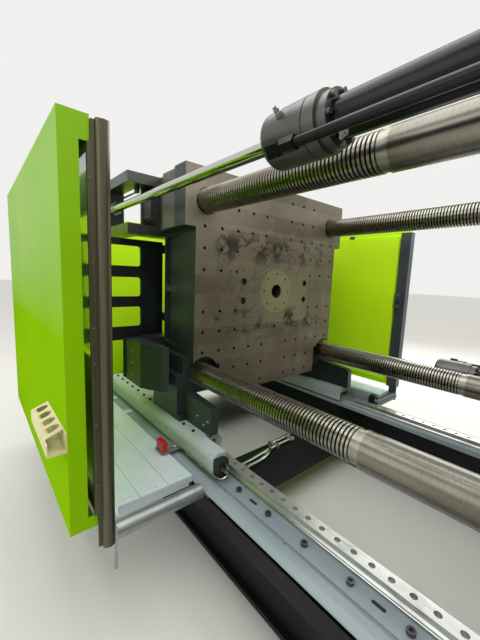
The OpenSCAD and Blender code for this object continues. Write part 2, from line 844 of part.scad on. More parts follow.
module traverse_tubes() { color(dark_steel) at_origin() ram_places() traverse_tube(); }

module traverse_rod() {
    rod_x(ram_rod_d / 2, -anchor_back - 60, piston_x);
    rod_x(ram_tube_d / 2 - 12.4, piston_x, piston_x + 50);
    for (x = [-anchor_back - 38, -anchor_back + anchor_t])
        translate([x, 0, 0]) rotate([0, 90, 0]) cylinder(r = 52, h = 38, $fn = 6);
}

module traverse_rods() { color(bright_steel) at_origin() ram_places() traverse_rod(); }

// Feed pipe beside the tube: an elbow block on the drum, a nut, and a block on the end cap
module traverse_pipe() {
    elbow_x = head_x1 - 168;
    difference() {
        rotate([36, 0, 0]) translate([0, -ram_head_d / 2 - 18, 0]) {
            rod_x(16, elbow_x + 108, tube_end - 40);
            translate([elbow_x + 49, 0, 0]) rotate([0, 90, 0]) cylinder(r = 24, h = 60, $fn = 6);
            box(elbow_x, elbow_x + 49, -21, 30, -21, 21);
            box(tube_end - 60, tube_end - 12, -21, 30, -21, 21);
        }
        rod_x(ram_head_d / 2 + slide_gap, elbow_x - 1, head_x1 + 1);
        rod_x(ram_tube_d / 2 + 26 + slide_gap, tube_end - 61, tube_end + 1);
    }
}

module traverse_pipes() { color(black_paint) at_origin() ram_places() traverse_pipe(); }

// Ejector

ejector_x = -platen_t - 400;

module ejector_plate() {
    color(dark_steel) at_origin() difference() {
        translate([0, 0, centre_h]) run_x(ejector_x, ejector_x + 60) rounded(860, 420, 40);
        ejector_places() rod_x(16 + slide_gap, ejector_x - 1, ejector_x + 61);
        for (level = [-1, 1]) translate([0, 0, centre_h + level * 150])
            rod_x(15 + slide_gap, ejector_x - 1, ejector_x + 61);
        translate([0, 0, centre_h]) rod_x(60, ejector_x - 1, ejector_x + 61);
    }
}

module ejector_rods() {
    color(bright_steel) at_origin() ejector_places() {
        rod_x(16, ejector_x - 20, ejector_x + 60);
        rod_x(ejector_hole_d / 2 - 2, ejector_x + 60, -28);
    }
}

module ejector_cylinders() {
    color(black_paint) at_origin() for (level = [-1, 1])
        translate([0, 0, centre_h + level * 150]) difference() {
            union() {
                rod_x(48, -platen_t - 180, -platen_t);
                translate([-platen_t - 30, 0, 0]) run_x(0, 30) rounded(150, 150, 20);
            }
            rod_x(20 + slide_gap, -platen_t - 181, -platen_t - 10);
        }
}

module ejector_pistons() {
    color(bright_steel) at_origin() for (level = [-1, 1])
        translate([0, 0, centre_h + level * 150]) {
            rod_x(20, ejector_x + 60, -platen_t - 160);
            rod_x(15, ejector_x - 24, ejector_x + 60);
        }
}

// Walkway and doors

module walkway() {
    seams = [[deck_y + 5, 1130], [1133, 1287], [1290, walkway_y]];
    color(grey_paint) at_origin() {
        both_sides() {
            for (s = seams) difference() {
                box(-bed_back, walkway_x1, s[0], s[1], walkway_top - 6, walkway_top);
                for (k = [0 : 2]) box(walkway_x1 - 40, walkway_x1 - 26, (s[0] + s[1]) / 2 - 22,
                                      (s[0] + s[1]) / 2 + 22, walkway_top - 7, walkway_top + 1);
            }
            // Edge channels, shallow over the door's carriers
            box(-bed_back, walkway_x1, deck_y + 5, deck_y + 45, walkway_top - 38, walkway_top - 6);
            box(-bed_back, walkway_x1, walkway_y - 50, walkway_y, walkway_top - 56, walkway_top - 6);
            for (x = [-bed_back, -1100, -560, -60, walkway_x1 - 50])
                box(x, x + 50, deck_y + 25, walkway_y, walkway_top - 56, walkway_top - 6);
            // Tongues on the bed deck and legs at the closed end
            for (x = [-1500, -1050, -700])
                box(x, x + 60, deck_y - 55, deck_y + 45, bed_top - 2, walkway_top - 6);
            for (x = [-bed_back, -1100])
                box(x, x + 50, walkway_y - 50, walkway_y, 0, walkway_top - 56);
        }
    }
}

module track_outline() {
    polygon([[track_y0, track_low], [deck_y, track_low], [deck_y, track_top],
             [deck_y - 6, track_top], [deck_y - 6, track_low + 6], [track_y0 + 6, track_low + 6],
             [track_y0 + 6, track_top], [track_y0, track_top]]);
}

module door_tracks() {
    color(black_paint) at_origin() both_sides()
        run_x(-bed_back, bed_end) track_outline();
}

// Folded sheet shell, open to the inside of the machine
module front_door_shell() {
    y0 = front_skin_y - door_t;
    color(guard_green) at_origin() mirror([0, 1, 0]) difference() {
        box(door_x0, front_door_x, y0, front_skin_y, door_z0, door_z1);
        box(door_x0 + sheet_t, front_door_x - sheet_t, y0 - 1, front_skin_y - sheet_t,
            door_z0 + sheet_t, door_z1 - sheet_t);
        box(front_door_x - sheet_t - 1, front_door_x + 1, y0 - 1, y0 + 33,
            door_z0 + 46, door_z1 - 83);
    }
}

// Grip profile, rails and back stile of the door's inner frame
module front_door_frame() {
    px = front_door_x;
    color(bronze) at_origin() mirror([0, 1, 0]) {
        difference() {
            translate([0, 0, frame_low]) linear_extrude(frame_top - frame_low) difference() {
            union() {
                translate([px - 6, frame_y - 47]) square([14, 71]);
                translate([px - 30, frame_y - 47]) square([42, 47]);
                translate([px + 10, frame_y - 23.5]) circle(23.5);
            }
            translate([px - 20, frame_y - 37]) square([26, 27]);
            }
            // The flange reaches over the shell's edge only within its notch
            for (z = [[frame_low - 1, door_z0 + 46 + slide_gap],
                      [door_z1 - 83 - slide_gap, frame_top + 1]])
                box(px - 7, px + 9, frame_y + 12, frame_y + 25, z[0], z[1]);
        }
        for (z = [door_z0 + 30, door_z1 - 70])
            box(door_x0, px - 6, frame_y - 17, frame_y + 12, z, z + 40);
        box(door_x0, door_x0 + 40, frame_y - 17, frame_y + 12, door_z0 + 70, door_z1 - 70);
        box(door_x0, px - 30, frame_y - 47, frame_y - 17, frame_low, frame_low + 60);
        for (x = [door_x0, px - 100])
            box(x, x + 40, frame_y - 47, frame_y - 17, frame_low + 60, door_z0 + 70);
    }
}

module front_door_pane() {
    color("#cfe6dc", 0.35) at_origin() mirror([0, 1, 0])
        box(door_x0 + 40, front_door_x - 6, frame_y + 2, frame_y + 7, door_z0 + 70, door_z1 - 70);
}

// Cross tube that carries a door on its low track: the trailing one passes under the walkway
module door_carrier(x, drop, door_y, plate_w, plate_top) {
    z = tube_z - drop;
    translate([x, 0, z]) difference() {
        rod_y(38, deck_y + 6, door_y - 14);
        rod_y(34, deck_y + 20, door_y - 18);
    }
    box(x - 50, x - 50 + plate_w, door_y - 14, door_y, z - 44, plate_top);
    box(x - 30, x + 30, deck_y - 20, deck_y + 10, arm_low, arm_low + 12);
    box(x - 30, x + 30, deck_y + 4, deck_y + 14, z - 20, arm_low + 12);
    box(x - 60, x + 60, track_y0 + 6 + slide_gap, deck_y - 6 - slide_gap,
        track_low + 6 + slide_gap, arm_low + 12);
}

module front_door_carriers() {
    color(zinc) at_origin() mirror([0, 1, 0]) {
        door_carrier(450, 0, frame_y - 47, 198, frame_low + 40);
        door_carrier(-900, 90, frame_y - 47, 140, frame_low + 40);
    }
}

// Rack with four round places and an open bin at its end
module can_holder() {
    x0 = front_door_x - 355;
    x1 = front_door_x - 48;
    z1 = centre_h - 462;
    z0 = z1 - 72;
    y0 = front_skin_y;
    drop = 26;
    reach = 62;
    wall = 3;
    xe = front_door_x - wall;
    color(beige) at_origin() mirror([0, 1, 0]) difference() {
        translate([x0, 0, 0]) rotate([90, 0, 90]) linear_extrude(front_door_x - x0)
            polygon([[y0, z0], [y0, z1], [y0 + reach, z1 - drop], [y0 + reach, z0]]);
        translate([x0 + wall, 0, 0]) rotate([90, 0, 90]) linear_extrude(xe - x0 - wall)
            polygon([[y0 + wall, z0 + wall], [y0 + wall, z1 - 5],
                     [y0 + reach - wall, z1 - drop - 2.5], [y0 + reach - wall, z0 + wall]]);
        box(x1, xe, y0 + wall, y0 + reach - wall, z0 + wall, z1 + 1);
        // Low lip at the bin's end
        box(x1, front_door_x + 1, y0 + wall, y0 + reach - wall, z0 + 12, z1 + 1);
        for (k = [0 : 3])
            translate([x0 + 42 + k * 72, y0 + reach / 2, z1 - drop / 2 + 6])
                cylinder(r = 25, h = 30, center = true);
    }
}

module rear_door_shell() {
    y0 = rear_skin_y - 70;
    color(guard_green) at_origin() difference() {
        union() {
            box(rear_x0, rear_x1 - 96, rear_skin_y - sheet_t, rear_skin_y, door_z0 - 88, door_z1);
            for (z = [door_z0 - 88, door_z1 - 40])
                box(rear_x0, rear_x1 - 96, y0, rear_skin_y, z, z + 40);
            for (x = [rear_x0, rear_x0 + 420, rear_x1 - 665])
                box(x, x + 40, y0 + 8, rear_skin_y, door_z0 - 88, door_z1);
            // Rib across the middle, then the slotted flange beside the leading profile
            box(rear_x0, rear_x1 - 200, y0 + 20, rear_skin_y, centre_h - 222, centre_h - 182);
            box(rear_x1 - 216, rear_x1 - 96, y0, y0 + sheet_t, door_z0 - 88, door_z1);
            box(rear_x1 - 220, rear_x1 - 216, y0, rear_skin_y, door_z0 - 88, door_z1);
            box(rear_x1 - 800, rear_x1 - 20, y0 - 5, rear_skin_y, door_z1, door_z1 + 12);
        }
        for (k = [0 : 6])
            box(rear_x1 - 158, rear_x1 - 146, y0 - 1, y0 + 5, centre_h + 354 - 160 * k,
                centre_h + 418 - 160 * k);
    }
}

module rear_door_frame() {
    y0 = rear_skin_y - 78;
    color(dark_steel) at_origin() {
        box(rear_x1 - 96, rear_x1, y0, rear_skin_y, door_z0 - 100, door_z1);
        box(rear_x1 - 655, rear_x1 - 605, y0 - 4, y0 + 8, door_z0 - 88, door_z1);
        box(rear_x1 - 84, rear_x1 - 30, y0 - 30, y0, centre_h - 150, centre_h + 10);
        door_carrier(410, 0, walkway_y + 15, 74, door_z0 - 90);
        door_carrier(rear_x0 + 120, 90, walkway_y + 15, 140, door_z0 - 88);
    }
}

// Fixed guard round the end of the machine, behind the moving platen
module end_guard() {
    color(guard_green) at_origin() difference() {
        box(-bed_back - 60, -bed_back, -walkway_y - 40, walkway_y + 20, guard_low, guard_top);
        box(-bed_back - 61, -bed_back - 4, -walkway_y - 20, walkway_y, guard_low + 20,
            guard_top - 20);
    }
}

// Fixed guards beside the bed, behind the doors: windows in front, plain at the rear
module side_guards() {
    color(guard_green) at_origin() {
        difference() {
            box(-bed_back, 330, -walkway_y - 36, -walkway_y - 6, walkway_top, guard_top - 80);
            for (k = [0 : 2])
                translate([-bed_back + 390 + 620 * k, 0, centre_h + 30])
                    run_y(-walkway_y - 37, -walkway_y - 5) rounded(520, 700, 60);
        }
        box(-bed_back, 330, walkway_y - 44, walkway_y - 14, door_z0 - 30, guard_top - 80);
    }
}

// Covers beside the fixed platen, on brackets from the bed deck
module platen_covers() {
    color(guard_green) at_origin() {
        for (side = [-1, 1]) difference() {
            y0 = side < 0 ? -1560 : rear_skin_y - 198;
            box(fixed_x + 40, base_x0 + 560, y0, y0 + 200, 20, guard_top);
            translate([0, side < 0 ? 4 : -4, 0])
                box(fixed_x + 44, base_x0 + 556, y0, y0 + 200, 24, guard_top - 4);
        }
        for (x = [fixed_x + 60, fixed_x + 340]) {
            box(x, x + 60, -1558, -deck_y, lip_z, lip_z + 60);
            box(x, x + 60, deck_y, rear_skin_y, lip_z, lip_z + 60);
        }
        // Hinge lugs and pin for the operator panel's arm
        for (z = [-12 - slide_gap, 90 + slide_gap])
            box(arm_x - 34, arm_x + 34, arm_y - 34, arm_y + 42, arm_z + z, arm_z + z + 12);
        translate([arm_x, arm_y, arm_z - 12]) cylinder(r = 14, h = 114);
    }
}

module lubrication_unit() {
    z0 = pump_floor_z;
    x = -bed_back + 120;
    color(black_paint) at_origin() {
        box(x, x + 240, -640, -440, z0, z0 + 20);
        translate([0, -540, z0 + 80]) rod_x(60, x + 10, x + 190);
        box(x + 40, x + 160, -600, -480, z0 + 130, z0 + 190);
        translate([x + 215, -540, z0 + 20]) cylinder(r = 22, h = 90);
    }
}

// Operator panel

module panel_arm() {
    color(grey_paint) at_origin() translate([arm_x, arm_y, arm_z]) difference() {
        union() {
            cylinder(r = 34, h = 90);
            translate([0, -24, 18]) cube([320, 48, 54]);
            translate([320, 0, -40]) cylinder(r = 30, h = 124);
        }
        translate([0, 0, -1]) cylinder(r = 14 + slide_gap, h = 92);
    }
}

module operator_panel() {
    color(dark_steel) at_origin() translate([arm_x + 320, arm_y, centre_h + 60]) {
        difference() {
            translate([0, 30, 0]) rotate([90, 0, 0]) linear_extrude(80) rounded(420, 560, 24);
            translate([0, -48, 40]) rotate([90, 0, 0]) linear_extrude(10)
                rounded(360, 420, 8);
            translate([-150, -60, -225]) rotate([-90, 0, 0]) cylinder(r = 12.2, h = 60);
        }
    }
}

module emergency_stop() {
    color("#c01818") at_origin() translate([arm_x + 170, arm_y, centre_h - 165]) {
        translate([0, -58, 0]) rotate([90, 0, 0]) cylinder(r = 20, h = 16);
        translate([0, -20, 0]) rotate([90, 0, 0]) cylinder(r = 12, h = 38);
    }
}

// Injection unit

module injection_base() {
    low = pad_h;
    color(grey_paint) at_origin() difference() {
        union() {
            box(base_x0, base_x0 + 150, -540, 540, low + 90, bed_top + 170);
            box(base_x0 + 130, base_x1, -620, 620, low + 90, base_top - 60);
            for (side = [-1, 1])
                box(base_x0 + 130, base_x1, side * 470 - 75, side * 470 + 75, base_top - 60,
                    base_top);
            for (side = [-1, 1])
                box(base_x0 + 150, base_x1 - 700, side * 470 - 24, side * 470 + 24,
                    base_top, base_top + 34);
            // Electrical cabinet at the end
            box(base_x1 - 1240, base_x1, -1180, -620, low + 90, centre_h + 300);
            for (x = [base_x0 + 160, base_x0 + 2000, base_x1 - 260], side = [-1, 1])
                box(x, x + 200, side * 520 - 80, side * 520 + 80, 0, low + 90);
            box(base_x1 - 260, base_x1 - 60, -1160, -1000, 0, low + 90);
            box(base_x1 - 1200, base_x1 - 1000, -1160, -1000, 0, low + 90);
            for (side = [-1, 1], z = hinge_z)
                translate([cabinet_mid + side * (cabinet_mid - leaf_x), cabinet_y - 16, z]) {
                    translate([0, 0, -20]) cylinder(r = 4, h = 100);
                    for (k = [-20, 60 + slide_gap]) translate([-8, -8, k])
                        cube([16, 25, 20 - slide_gap]);
                }
        }
        // Hollow inside, open below
        box(base_x0 + 190, base_x1 - 60, -560, 560, low + 89, base_top - 100);
        // Open cabinet front, closed by its doors
        box(base_x1 - 1215, base_x1 - 25, -1181, -700, low + 120, centre_h + 270);
        // Service bays along both sides
        for (x = [base_x0 + 180, base_x0 + 1080, base_x0 + 1980], side = [-1, 1])
            translate([x + 350, side * 590, (base_top + low) / 2 + 30])
                run_y(-31, 31) rounded(700, 560, 40);
    }
}

module injection_slide() {
    color(dark_steel) at_origin() difference() {
        union() {
            box(slide_x0, slide_x1, -560, 560, slide_z, slide_z + 60);
            for (x = [slide_x0 + 40, slide_x1 - 300], side = [-1, 1])
                box(x, x + 260, side * 470 - 60, side * 470 + 60, base_top + 6, slide_z);
            // Barrel plate and its webs
            translate([0, 0, centre_h]) run_x(slide_x0 + 60, slide_x0 + 300) rounded(1020, 620, 60);
            box(slide_x0 + 60, slide_x0 + 300, -420, 420, slide_z, centre_h - 200);
            for (side = [-1, 1])
                run_y(side * 380 - 30, side * 380 + 30)
                    polygon([[slide_x0 + 290, slide_z + 50], [slide_x0 + 290, centre_h - 100],
                             [slide_x0 + 700, slide_z + 50]]);
        }
        translate([0, 0, centre_h]) rod_x(barrel_r + slide_gap, slide_x0, slide_x0 + 301);
        for (x = [slide_x0 + 39, slide_x1 - 301], side = [-1, 1])
            box(x, x + 262, side * 470 - 24 - slide_gap, side * 470 + 24 + slide_gap,
                base_top + 5, base_top + 34 + slide_gap);
        for (side = [-1, 1]) translate([0, side * stroke_y, centre_h])
            rod_x(90.6 + slide_gap, slide_x0 + 59, slide_x0 + 301);
        translate([hopper_x, 0, centre_h]) cylinder(r = 70 + slide_gap, h = 320);
    }
}

module barrel() {
    color(bright_steel) at_origin() translate([0, 0, centre_h]) difference() {
        union() {
            rotate([0, 90, 0]) rotate_extrude() polygon([
                [0, barrel_front - 34], [14, barrel_front - 34], [26, barrel_front - 22],
                [26, barrel_front + 60], [70, barrel_front + 100], [70, barrel_x0],
                [barrel_r - 20, barrel_x0], [barrel_r, barrel_x0 + 20], [barrel_r, barrel_x1],
                [0, barrel_x1]]);
            rod_x(barrel_r + 60, slide_x0 + 10, slide_x0 + 60);
        }
        rod_x(screw_d / 2 + 0.5, barrel_x0 - 10, barrel_x1 + 1);
        rod_x(10, barrel_front - 60, barrel_x0);
        translate([hopper_x, 0, 0]) cylinder(r = 45, h = barrel_r + 80);
    }
}

band_pitch = (slide_x0 - barrel_x0 - 40) / bands;

module heater_bands() {
    color(zinc) at_origin() translate([0, 0, centre_h]) for (k = [0 : bands - 1]) {
        x = barrel_x0 + 34 + k * band_pitch;
        difference() {
            union() {
                rod_x(barrel_r + 22, x, x + band_pitch - 24);
                translate([x + 20, -30, barrel_r + 10]) cube([band_pitch - 64, 60, 42]);
            }
            rod_x(barrel_r + slide_gap, x - 1, x + band_pitch);
        }
    }
}

// Perforated half cover over the hot barrel
module barrel_guard() {
    r = barrel_r + 110;
    x0 = barrel_x0 + 170;
    x1 = slide_x0 + 60;
    color(grey_paint) at_origin() translate([0, 0, centre_h]) difference() {
        union() {
            rod_x(r, x0, x1);
            box(x0, x1, -r, r, -150, 0);
        }
        rod_x(r - 6, x0 - 1, x1 + 1);
        box(x0 - 1, x1 + 1, -r + 6, r - 6, -r - 10, 0);
        // Cooling slots across the crown
        for (x = [x0 + 70 : 110 : x1 - 100]) box(x, x + 30, -130, 130, 150, r + 10);
    }
}

// Root circle of the screw with one flight standing out of it
function screw_points(root, tip) = concat(
    [for (a = [24 : 24 : 336]) [root * cos(a), root * sin(a)]],
    [[root, -8], [tip, -5], [tip, 5], [root, 8]]);

module screw() {
    turns = 14;
    flight = screw_d / 2;
    length = barrel_x1 - barrel_x0 - 30;
    color(bright_steel) at_origin() translate([barrel_x0 + 4, 0, centre_h]) rotate([0, 90, 0]) {
        cylinder(r1 = 6, r2 = flight * 0.58, h = 61);
        translate([0, 0, 60])
            linear_extrude(length - 60, twist = -360 * turns, slices = turns * 12, $fn = 8)
                polygon(screw_points(flight * 0.68, flight - 0.4));
        translate([0, 0, length - 1]) cylinder(r = screw_shaft_r, h = drive_x0 - barrel_x1 + 60);
    }
}

module hopper() {
    w = hopper_w / 2;
    color(bright_steel) at_origin() translate([hopper_x, 0, hopper_z]) difference() {
        union() {
            // Throat, cone and rim, then the lid's hinge lugs and pin
            translate([0, 0, -300]) cylinder(r = 70, h = 360);
            rotate_extrude() polygon([[60, 0], [120, 0], [120, 14], [74, 14], [w, hopper_h - 200],
                                      [w, hopper_h], [w - 3, hopper_h], [w - 3, hopper_h - 199],
                                      [60, 10]]);
            rotate_extrude() translate([w - 1, hopper_h - 30]) square([22, 30]);
            for (x = [-84, 62])
                translate([x, w + 8, hopper_h - 30]) cube([22, 54, 30 + lid_t]);
            translate([0, w + 44, hopper_h + lid_t / 2]) rod_x(5, -70, 70);
        }
        translate([0, 0, -400]) cylinder(r = 45, h = 500);
        translate([0, 0, centre_h - hopper_z]) rod_x(barrel_r + slide_gap, -200, 200);
    }
}

module hopper_lid() {
    w = hopper_w / 2 + 26;
    z = hopper_z + hopper_h;
    color(zinc) at_origin() translate([hopper_x, 0, z]) difference() {
        union() {
            cylinder(r = w, h = lid_t);
            translate([-40, -w + 6, lid_t]) cube([80, 12, 30]);
            translate([-60, w - 20, 0]) cube([120, 46, lid_t]);
        }
        translate([0, hopper_w / 2 + 44, lid_t / 2]) rod_x(5 + slide_gap, -61, 61);
        for (x = [-86, 60]) translate([x, w - 24, -1]) cube([26, 60, lid_t + 2]);
    }
}

module screw_drive() {
    color(dark_steel) at_origin() {
        difference() {
            union() {
                translate([0, 0, centre_h]) {
                    run_x(drive_x0, drive_x0 + 200) rounded(1020, 560, 60);
                    rod_x(190, drive_x0 + 200, drive_x0 + 620);
                    rod_x(210, drive_x0 + 200, drive_x0 + 240);
                    for (a = [0 : 20 : 340]) rotate([a, 0, 0])
                        box(drive_x0 + 260, drive_x0 + 600, -4, 4, 185, 206);
                }
                for (side = [-1, 1])
                    box(drive_x0, drive_x0 + 200, side * 380 - 60, side * 380 + 60,
                        slide_z + 60 + slide_gap, centre_h - 200);
            }
            translate([0, 0, centre_h]) rod_x(screw_shaft_r + 0.1, drive_x0 - 1, drive_x0 + 90);
            for (side = [-1, 1]) translate([0, side * stroke_y, centre_h])
                rod_x(30 + slide_gap, drive_x0 - 1, drive_x0 + 201);
        }
    }
}

module injection_cylinders() {
    color(black_paint) at_origin() for (side = [-1, 1]) translate([0, side * stroke_y, centre_h])
        difference() {
            union() {
                rod_x(90, slide_x0 + 20, slide_x0 + 760);
                rod_x(112, slide_x0 + 300, slide_x0 + 340);
            }
            rod_x(45, slide_x0 + 60, slide_x0 + 740);
            rod_x(30 + slide_gap, slide_x0 + 739, slide_x0 + 761);
        }
}

module injection_pistons() {
    color(bright_steel) at_origin() for (side = [-1, 1]) translate([0, side * stroke_y, centre_h]) {
        rod_x(44.7, slide_x0 + 80, slide_x0 + 140);
        rod_x(30, slide_x0 + 140, drive_x0 + 230);
        translate([drive_x0 + 200, 0, 0]) rotate([0, 90, 0]) cylinder(r = 48, h = 30, $fn = 6);
    }
}

// Left leaf of the cabinet: hinge line, then a folded sheet with its grip
module cabinet_leaf() {
    low = pad_h + 112;
    high = centre_h + 278;
    difference() {
        union() {
            box(leaf_x + 13, cabinet_mid - 1, cabinet_y - 24, cabinet_y - slide_gap, low, high);
            for (z = hinge_z) translate([leaf_x, cabinet_y - 16, z]) {
                cylinder(r = 8, h = 60);
                translate([0, -8, 0]) cube([20, 8, 60]);
            }
            box(cabinet_mid - 60, cabinet_mid - 32, cabinet_y - 44, cabinet_y - 24,
                centre_h - 200, centre_h - 60);
        }
        box(leaf_x + 24, cabinet_mid - 21, cabinet_y - 21, cabinet_y + 1, low + 20, high - 20);
        for (z = hinge_z) translate([leaf_x, cabinet_y - 16, z - 1])
            cylinder(r = 4 + slide_gap, h = 62);
    }
}

module cabinet_door_left() { color(grey_paint) at_origin() cabinet_leaf(); }

module cabinet_door_right() {
    color(grey_paint) at_origin() translate([2 * cabinet_mid, 0, 0]) mirror([1, 0, 0])
        cabinet_leaf();
}

bed_frame();
levelling_pads();
guide_rails();
deck_screws();
position_rods();
moving_platen();
fixed_platen();
tie_bars();
tie_bar_nuts();
lock_nuts_front_outer();
lock_nuts_front_inner();
lock_nuts_rear_inner();
lock_nuts_rear_outer();
lock_housings();
lock_drives_front();
lock_drives_rear();
lock_rods_front();
lock_rods_rear();
lock_covers();
safety_screens();
guide_shoes();
runner_blocks();
shoe_end_blocks();
traverse_heads();
traverse_tubes();
traverse_rods();
traverse_pipes();
ejector_plate();
ejector_rods();
ejector_cylinders();
ejector_pistons();
walkway();
door_tracks();
front_door_shell();
front_door_frame();
front_door_pane();
front_door_carriers();
can_holder();
rear_door_shell();
rear_door_frame();
end_guard();
side_guards();
platen_covers();
lubrication_unit();
panel_arm();
operator_panel();
emergency_stop();
injection_base();
injection_slide();
barrel();
heater_bands();
screw();
barrel_guard();
hopper();
hopper_lid();
screw_drive();
injection_cylinders();
injection_pistons();
cabinet_door_left();
cabinet_door_right();
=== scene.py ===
import math

import bmesh
import bpy
from mathutils import Matrix, Vector


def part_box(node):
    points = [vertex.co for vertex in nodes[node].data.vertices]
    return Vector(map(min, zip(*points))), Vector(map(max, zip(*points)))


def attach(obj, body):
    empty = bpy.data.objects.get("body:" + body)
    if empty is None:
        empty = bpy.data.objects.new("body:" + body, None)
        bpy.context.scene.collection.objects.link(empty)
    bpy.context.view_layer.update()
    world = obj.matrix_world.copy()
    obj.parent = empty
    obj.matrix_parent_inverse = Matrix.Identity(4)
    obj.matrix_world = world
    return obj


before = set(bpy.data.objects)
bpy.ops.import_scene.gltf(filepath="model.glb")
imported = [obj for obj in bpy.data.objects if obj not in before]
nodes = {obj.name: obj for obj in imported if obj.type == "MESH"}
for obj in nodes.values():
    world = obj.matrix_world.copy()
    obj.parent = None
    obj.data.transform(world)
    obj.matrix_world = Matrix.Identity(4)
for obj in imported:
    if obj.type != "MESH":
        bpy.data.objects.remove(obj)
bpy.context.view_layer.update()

# Places and sizes are the machine's own millimetres: x from the open face of the moving
# platen, y from the middle plane with the front on the minus side, z from the floor.

ZERO_X, ZERO_Y = 2445.0, -120.0   # where the frame has its zero
SIDES = (-1, 1)                   # front and rear
LEVELS = (-1, 1)                  # lower and upper
CENTRE_H = 1550.0                 # platen centre over the floor
FIXED_FACE = 2000                 # open face of the fixed platen
BAR_Y, BAR_Z = 685.0, 576.0       # tie bars from the platen centre
NECK_X0, NECK_X1 = 1140, 1196     # light neck between a bar's ridges and its smooth part
BED_TOP = 530.0
DECK_INNER, DECK_LOW = 688, 500   # the painted deck lies outside and above these
RAIL_Y = 770.0
RAM_Y, RAM_REL = 1000.0, 581.0    # traverse cylinders from the platen centre
DOOR_EDGE = 598.0                 # leading edge of the front door
HOPPER_X = 4290.0
BANDS = 9                         # heater bands on the barrel
CABINET_SKIN = -1204.0            # outer face of the cabinet's doors
SERVICE_BAYS = (2970.0, 3870.0, 4770.0)
PANEL_BACK = -1600                # faces of the operator panel behind this are its back
CREASE = math.radians(32)         # edges sharper than this stay crisp


def at(x, y, z):
    """A place of the machine, in the frame's metres."""
    return Vector(((x - ZERO_X) / 1000, (y - ZERO_Y) / 1000, z / 1000))


def mm(value):
    """Millimetres as metres."""
    return value / 1000


# Materials

def linear(code):
    """The linear colour of an sRGB hex value."""
    parts = [int(code[i:i + 2], 16) / 255 for i in (1, 3, 5)]
    return [c / 12.92 if c <= 0.04045 else ((c + 0.055) / 1.055) ** 2.4 for c in parts] + [1.0]


def add(tree, kind, inputs=None, give=0, **settings):
    """Adds a node with its settings and links. Gives one output, or the node for None."""
    node = tree.nodes.new("ShaderNode" + kind)
    for key, value in settings.items():
        setattr(node, key, value)
    for key, value in (inputs or {}).items():
        if isinstance(value, bpy.types.NodeSocket):
            tree.links.new(value, node.inputs[key])
        else:
            node.inputs[key].default_value = linear(value) if isinstance(value, str) else value
    return node if give is None else node.outputs[give]


class Finish:
    """A material being mixed: its colour, roughness and relief grow layer by layer."""

    def __init__(self, name, colour, rough, metallic=0.0, others=None):
        """Others are more inputs of the shader, by their names."""
        self.material = bpy.data.materials.new(name)
        self.material.use_nodes = True
        self.tree = self.material.node_tree
        self.tree.nodes.clear()
        self.place = add(self.tree, "TexCoord", give="Object")
        self.colour = colour
        self.rough = rough
        self.shader = {"Metallic": metallic, **(others or {})}

    def cloud(self, size, low, high, stretch=(1, 1, 1), detail=3.0, rough=0.55, seed=0.0):
        """A cloudy mask from 0 to 1 with spots about size millimetres across."""
        place = self.place
        if stretch != (1, 1, 1):
            place = add(self.tree, "Mapping", {"Vector": place, "Scale": [1 / k for k in stretch]})
        shade = add(self.tree, "TexNoise",
                    {"Vector": place, "Scale": 1000 / size, "Detail": detail,
                     "Roughness": rough, "W": seed}, noise_dimensions="4D")
        return add(self.tree, "MapRange", {0: shade, 1: low, 2: high},
                   interpolation_type="SMOOTHSTEP")

    def edges(self, radius, high=0.3):
        """A mask on the sharp edges, where paint rubs off first and where a painted highlight runs
        along them.
        """
        dot = add(self.tree, "VectorMath",
                  {0: add(self.tree, "Bevel", {"Radius": mm(radius)}, samples=4),
                   1: add(self.tree, "NewGeometry", give="Normal")},
                  give="Value", operation="DOT_PRODUCT")
        turned = add(self.tree, "Math", {0: 1.0, 1: dot}, operation="SUBTRACT")
        return add(self.tree, "MapRange", {0: turned, 1: 0.02, 2: high},
                   interpolation_type="SMOOTHSTEP")

    def layer(self, masks, colour, rough, share=1.0):
        """Lays a colour and a roughness over what is there, where all the masks are."""
        weight = share
        for mask in masks if isinstance(masks, tuple) else (masks,):
            weight = add(self.tree, "Math", {0: mask, 1: weight}, operation="MULTIPLY")
        # A Mix node has its numbers at inputs 2 and 3, its colours at 6 and 7
        self.colour = add(self.tree, "Mix", {0: weight, 6: self.colour, 7: colour},
                          give=2, data_type="RGBA")
        self.rough = add(self.tree, "Mix", {0: weight, 2: self.rough, 3: rough})

    def relief(self, height, depth, strength):
        """Raises and sinks the surface by a mask, depth in millimetres."""
        self.shader["Normal"] = add(self.tree, "Bump", {"Height": height, "Distance": mm(depth),
                                                        "Strength": strength})

    def done(self):
        """Hands the mixed layers to the shader and gives the material."""
        surface = add(self.tree, "BsdfPrincipled",
                      {"Base Color": self.colour, "Roughness": self.rough, **self.shader})
        add(self.tree, "OutputMaterial", {"Surface": surface}, give=None)
        return self.material


def cast_iron_paint():
    """Two-pack paint over sand-cast iron: near black with green in it, satin, slightly pebbled."""
    f = Finish("cast_iron_paint", "#283233", 0.38)
    f.layer(f.cloud(260, 0.42, 0.72), "#26312e", 0.5)
    f.layer(f.cloud(24, 0.6, 0.72, detail=5), "#0e1514", 0.55, 0.6)
    f.layer(f.edges(3.5), "#4d5450", 0.4, 0.55)
    f.relief(f.cloud(7, 0.2, 0.8), 0.35, 0.5)
    return f.done()


def strip(tree, value, middle, full, gone):
    """A mask on a strip: all of it within full of the middle, none of it beyond gone."""
    off = add(tree, "Math", {0: value, 1: middle}, operation="SUBTRACT")
    off = add(tree, "Math", {0: off}, operation="ABSOLUTE")
    return add(tree, "MapRange", {0: off, 1: gone, 2: full}, interpolation_type="SMOOTHSTEP")


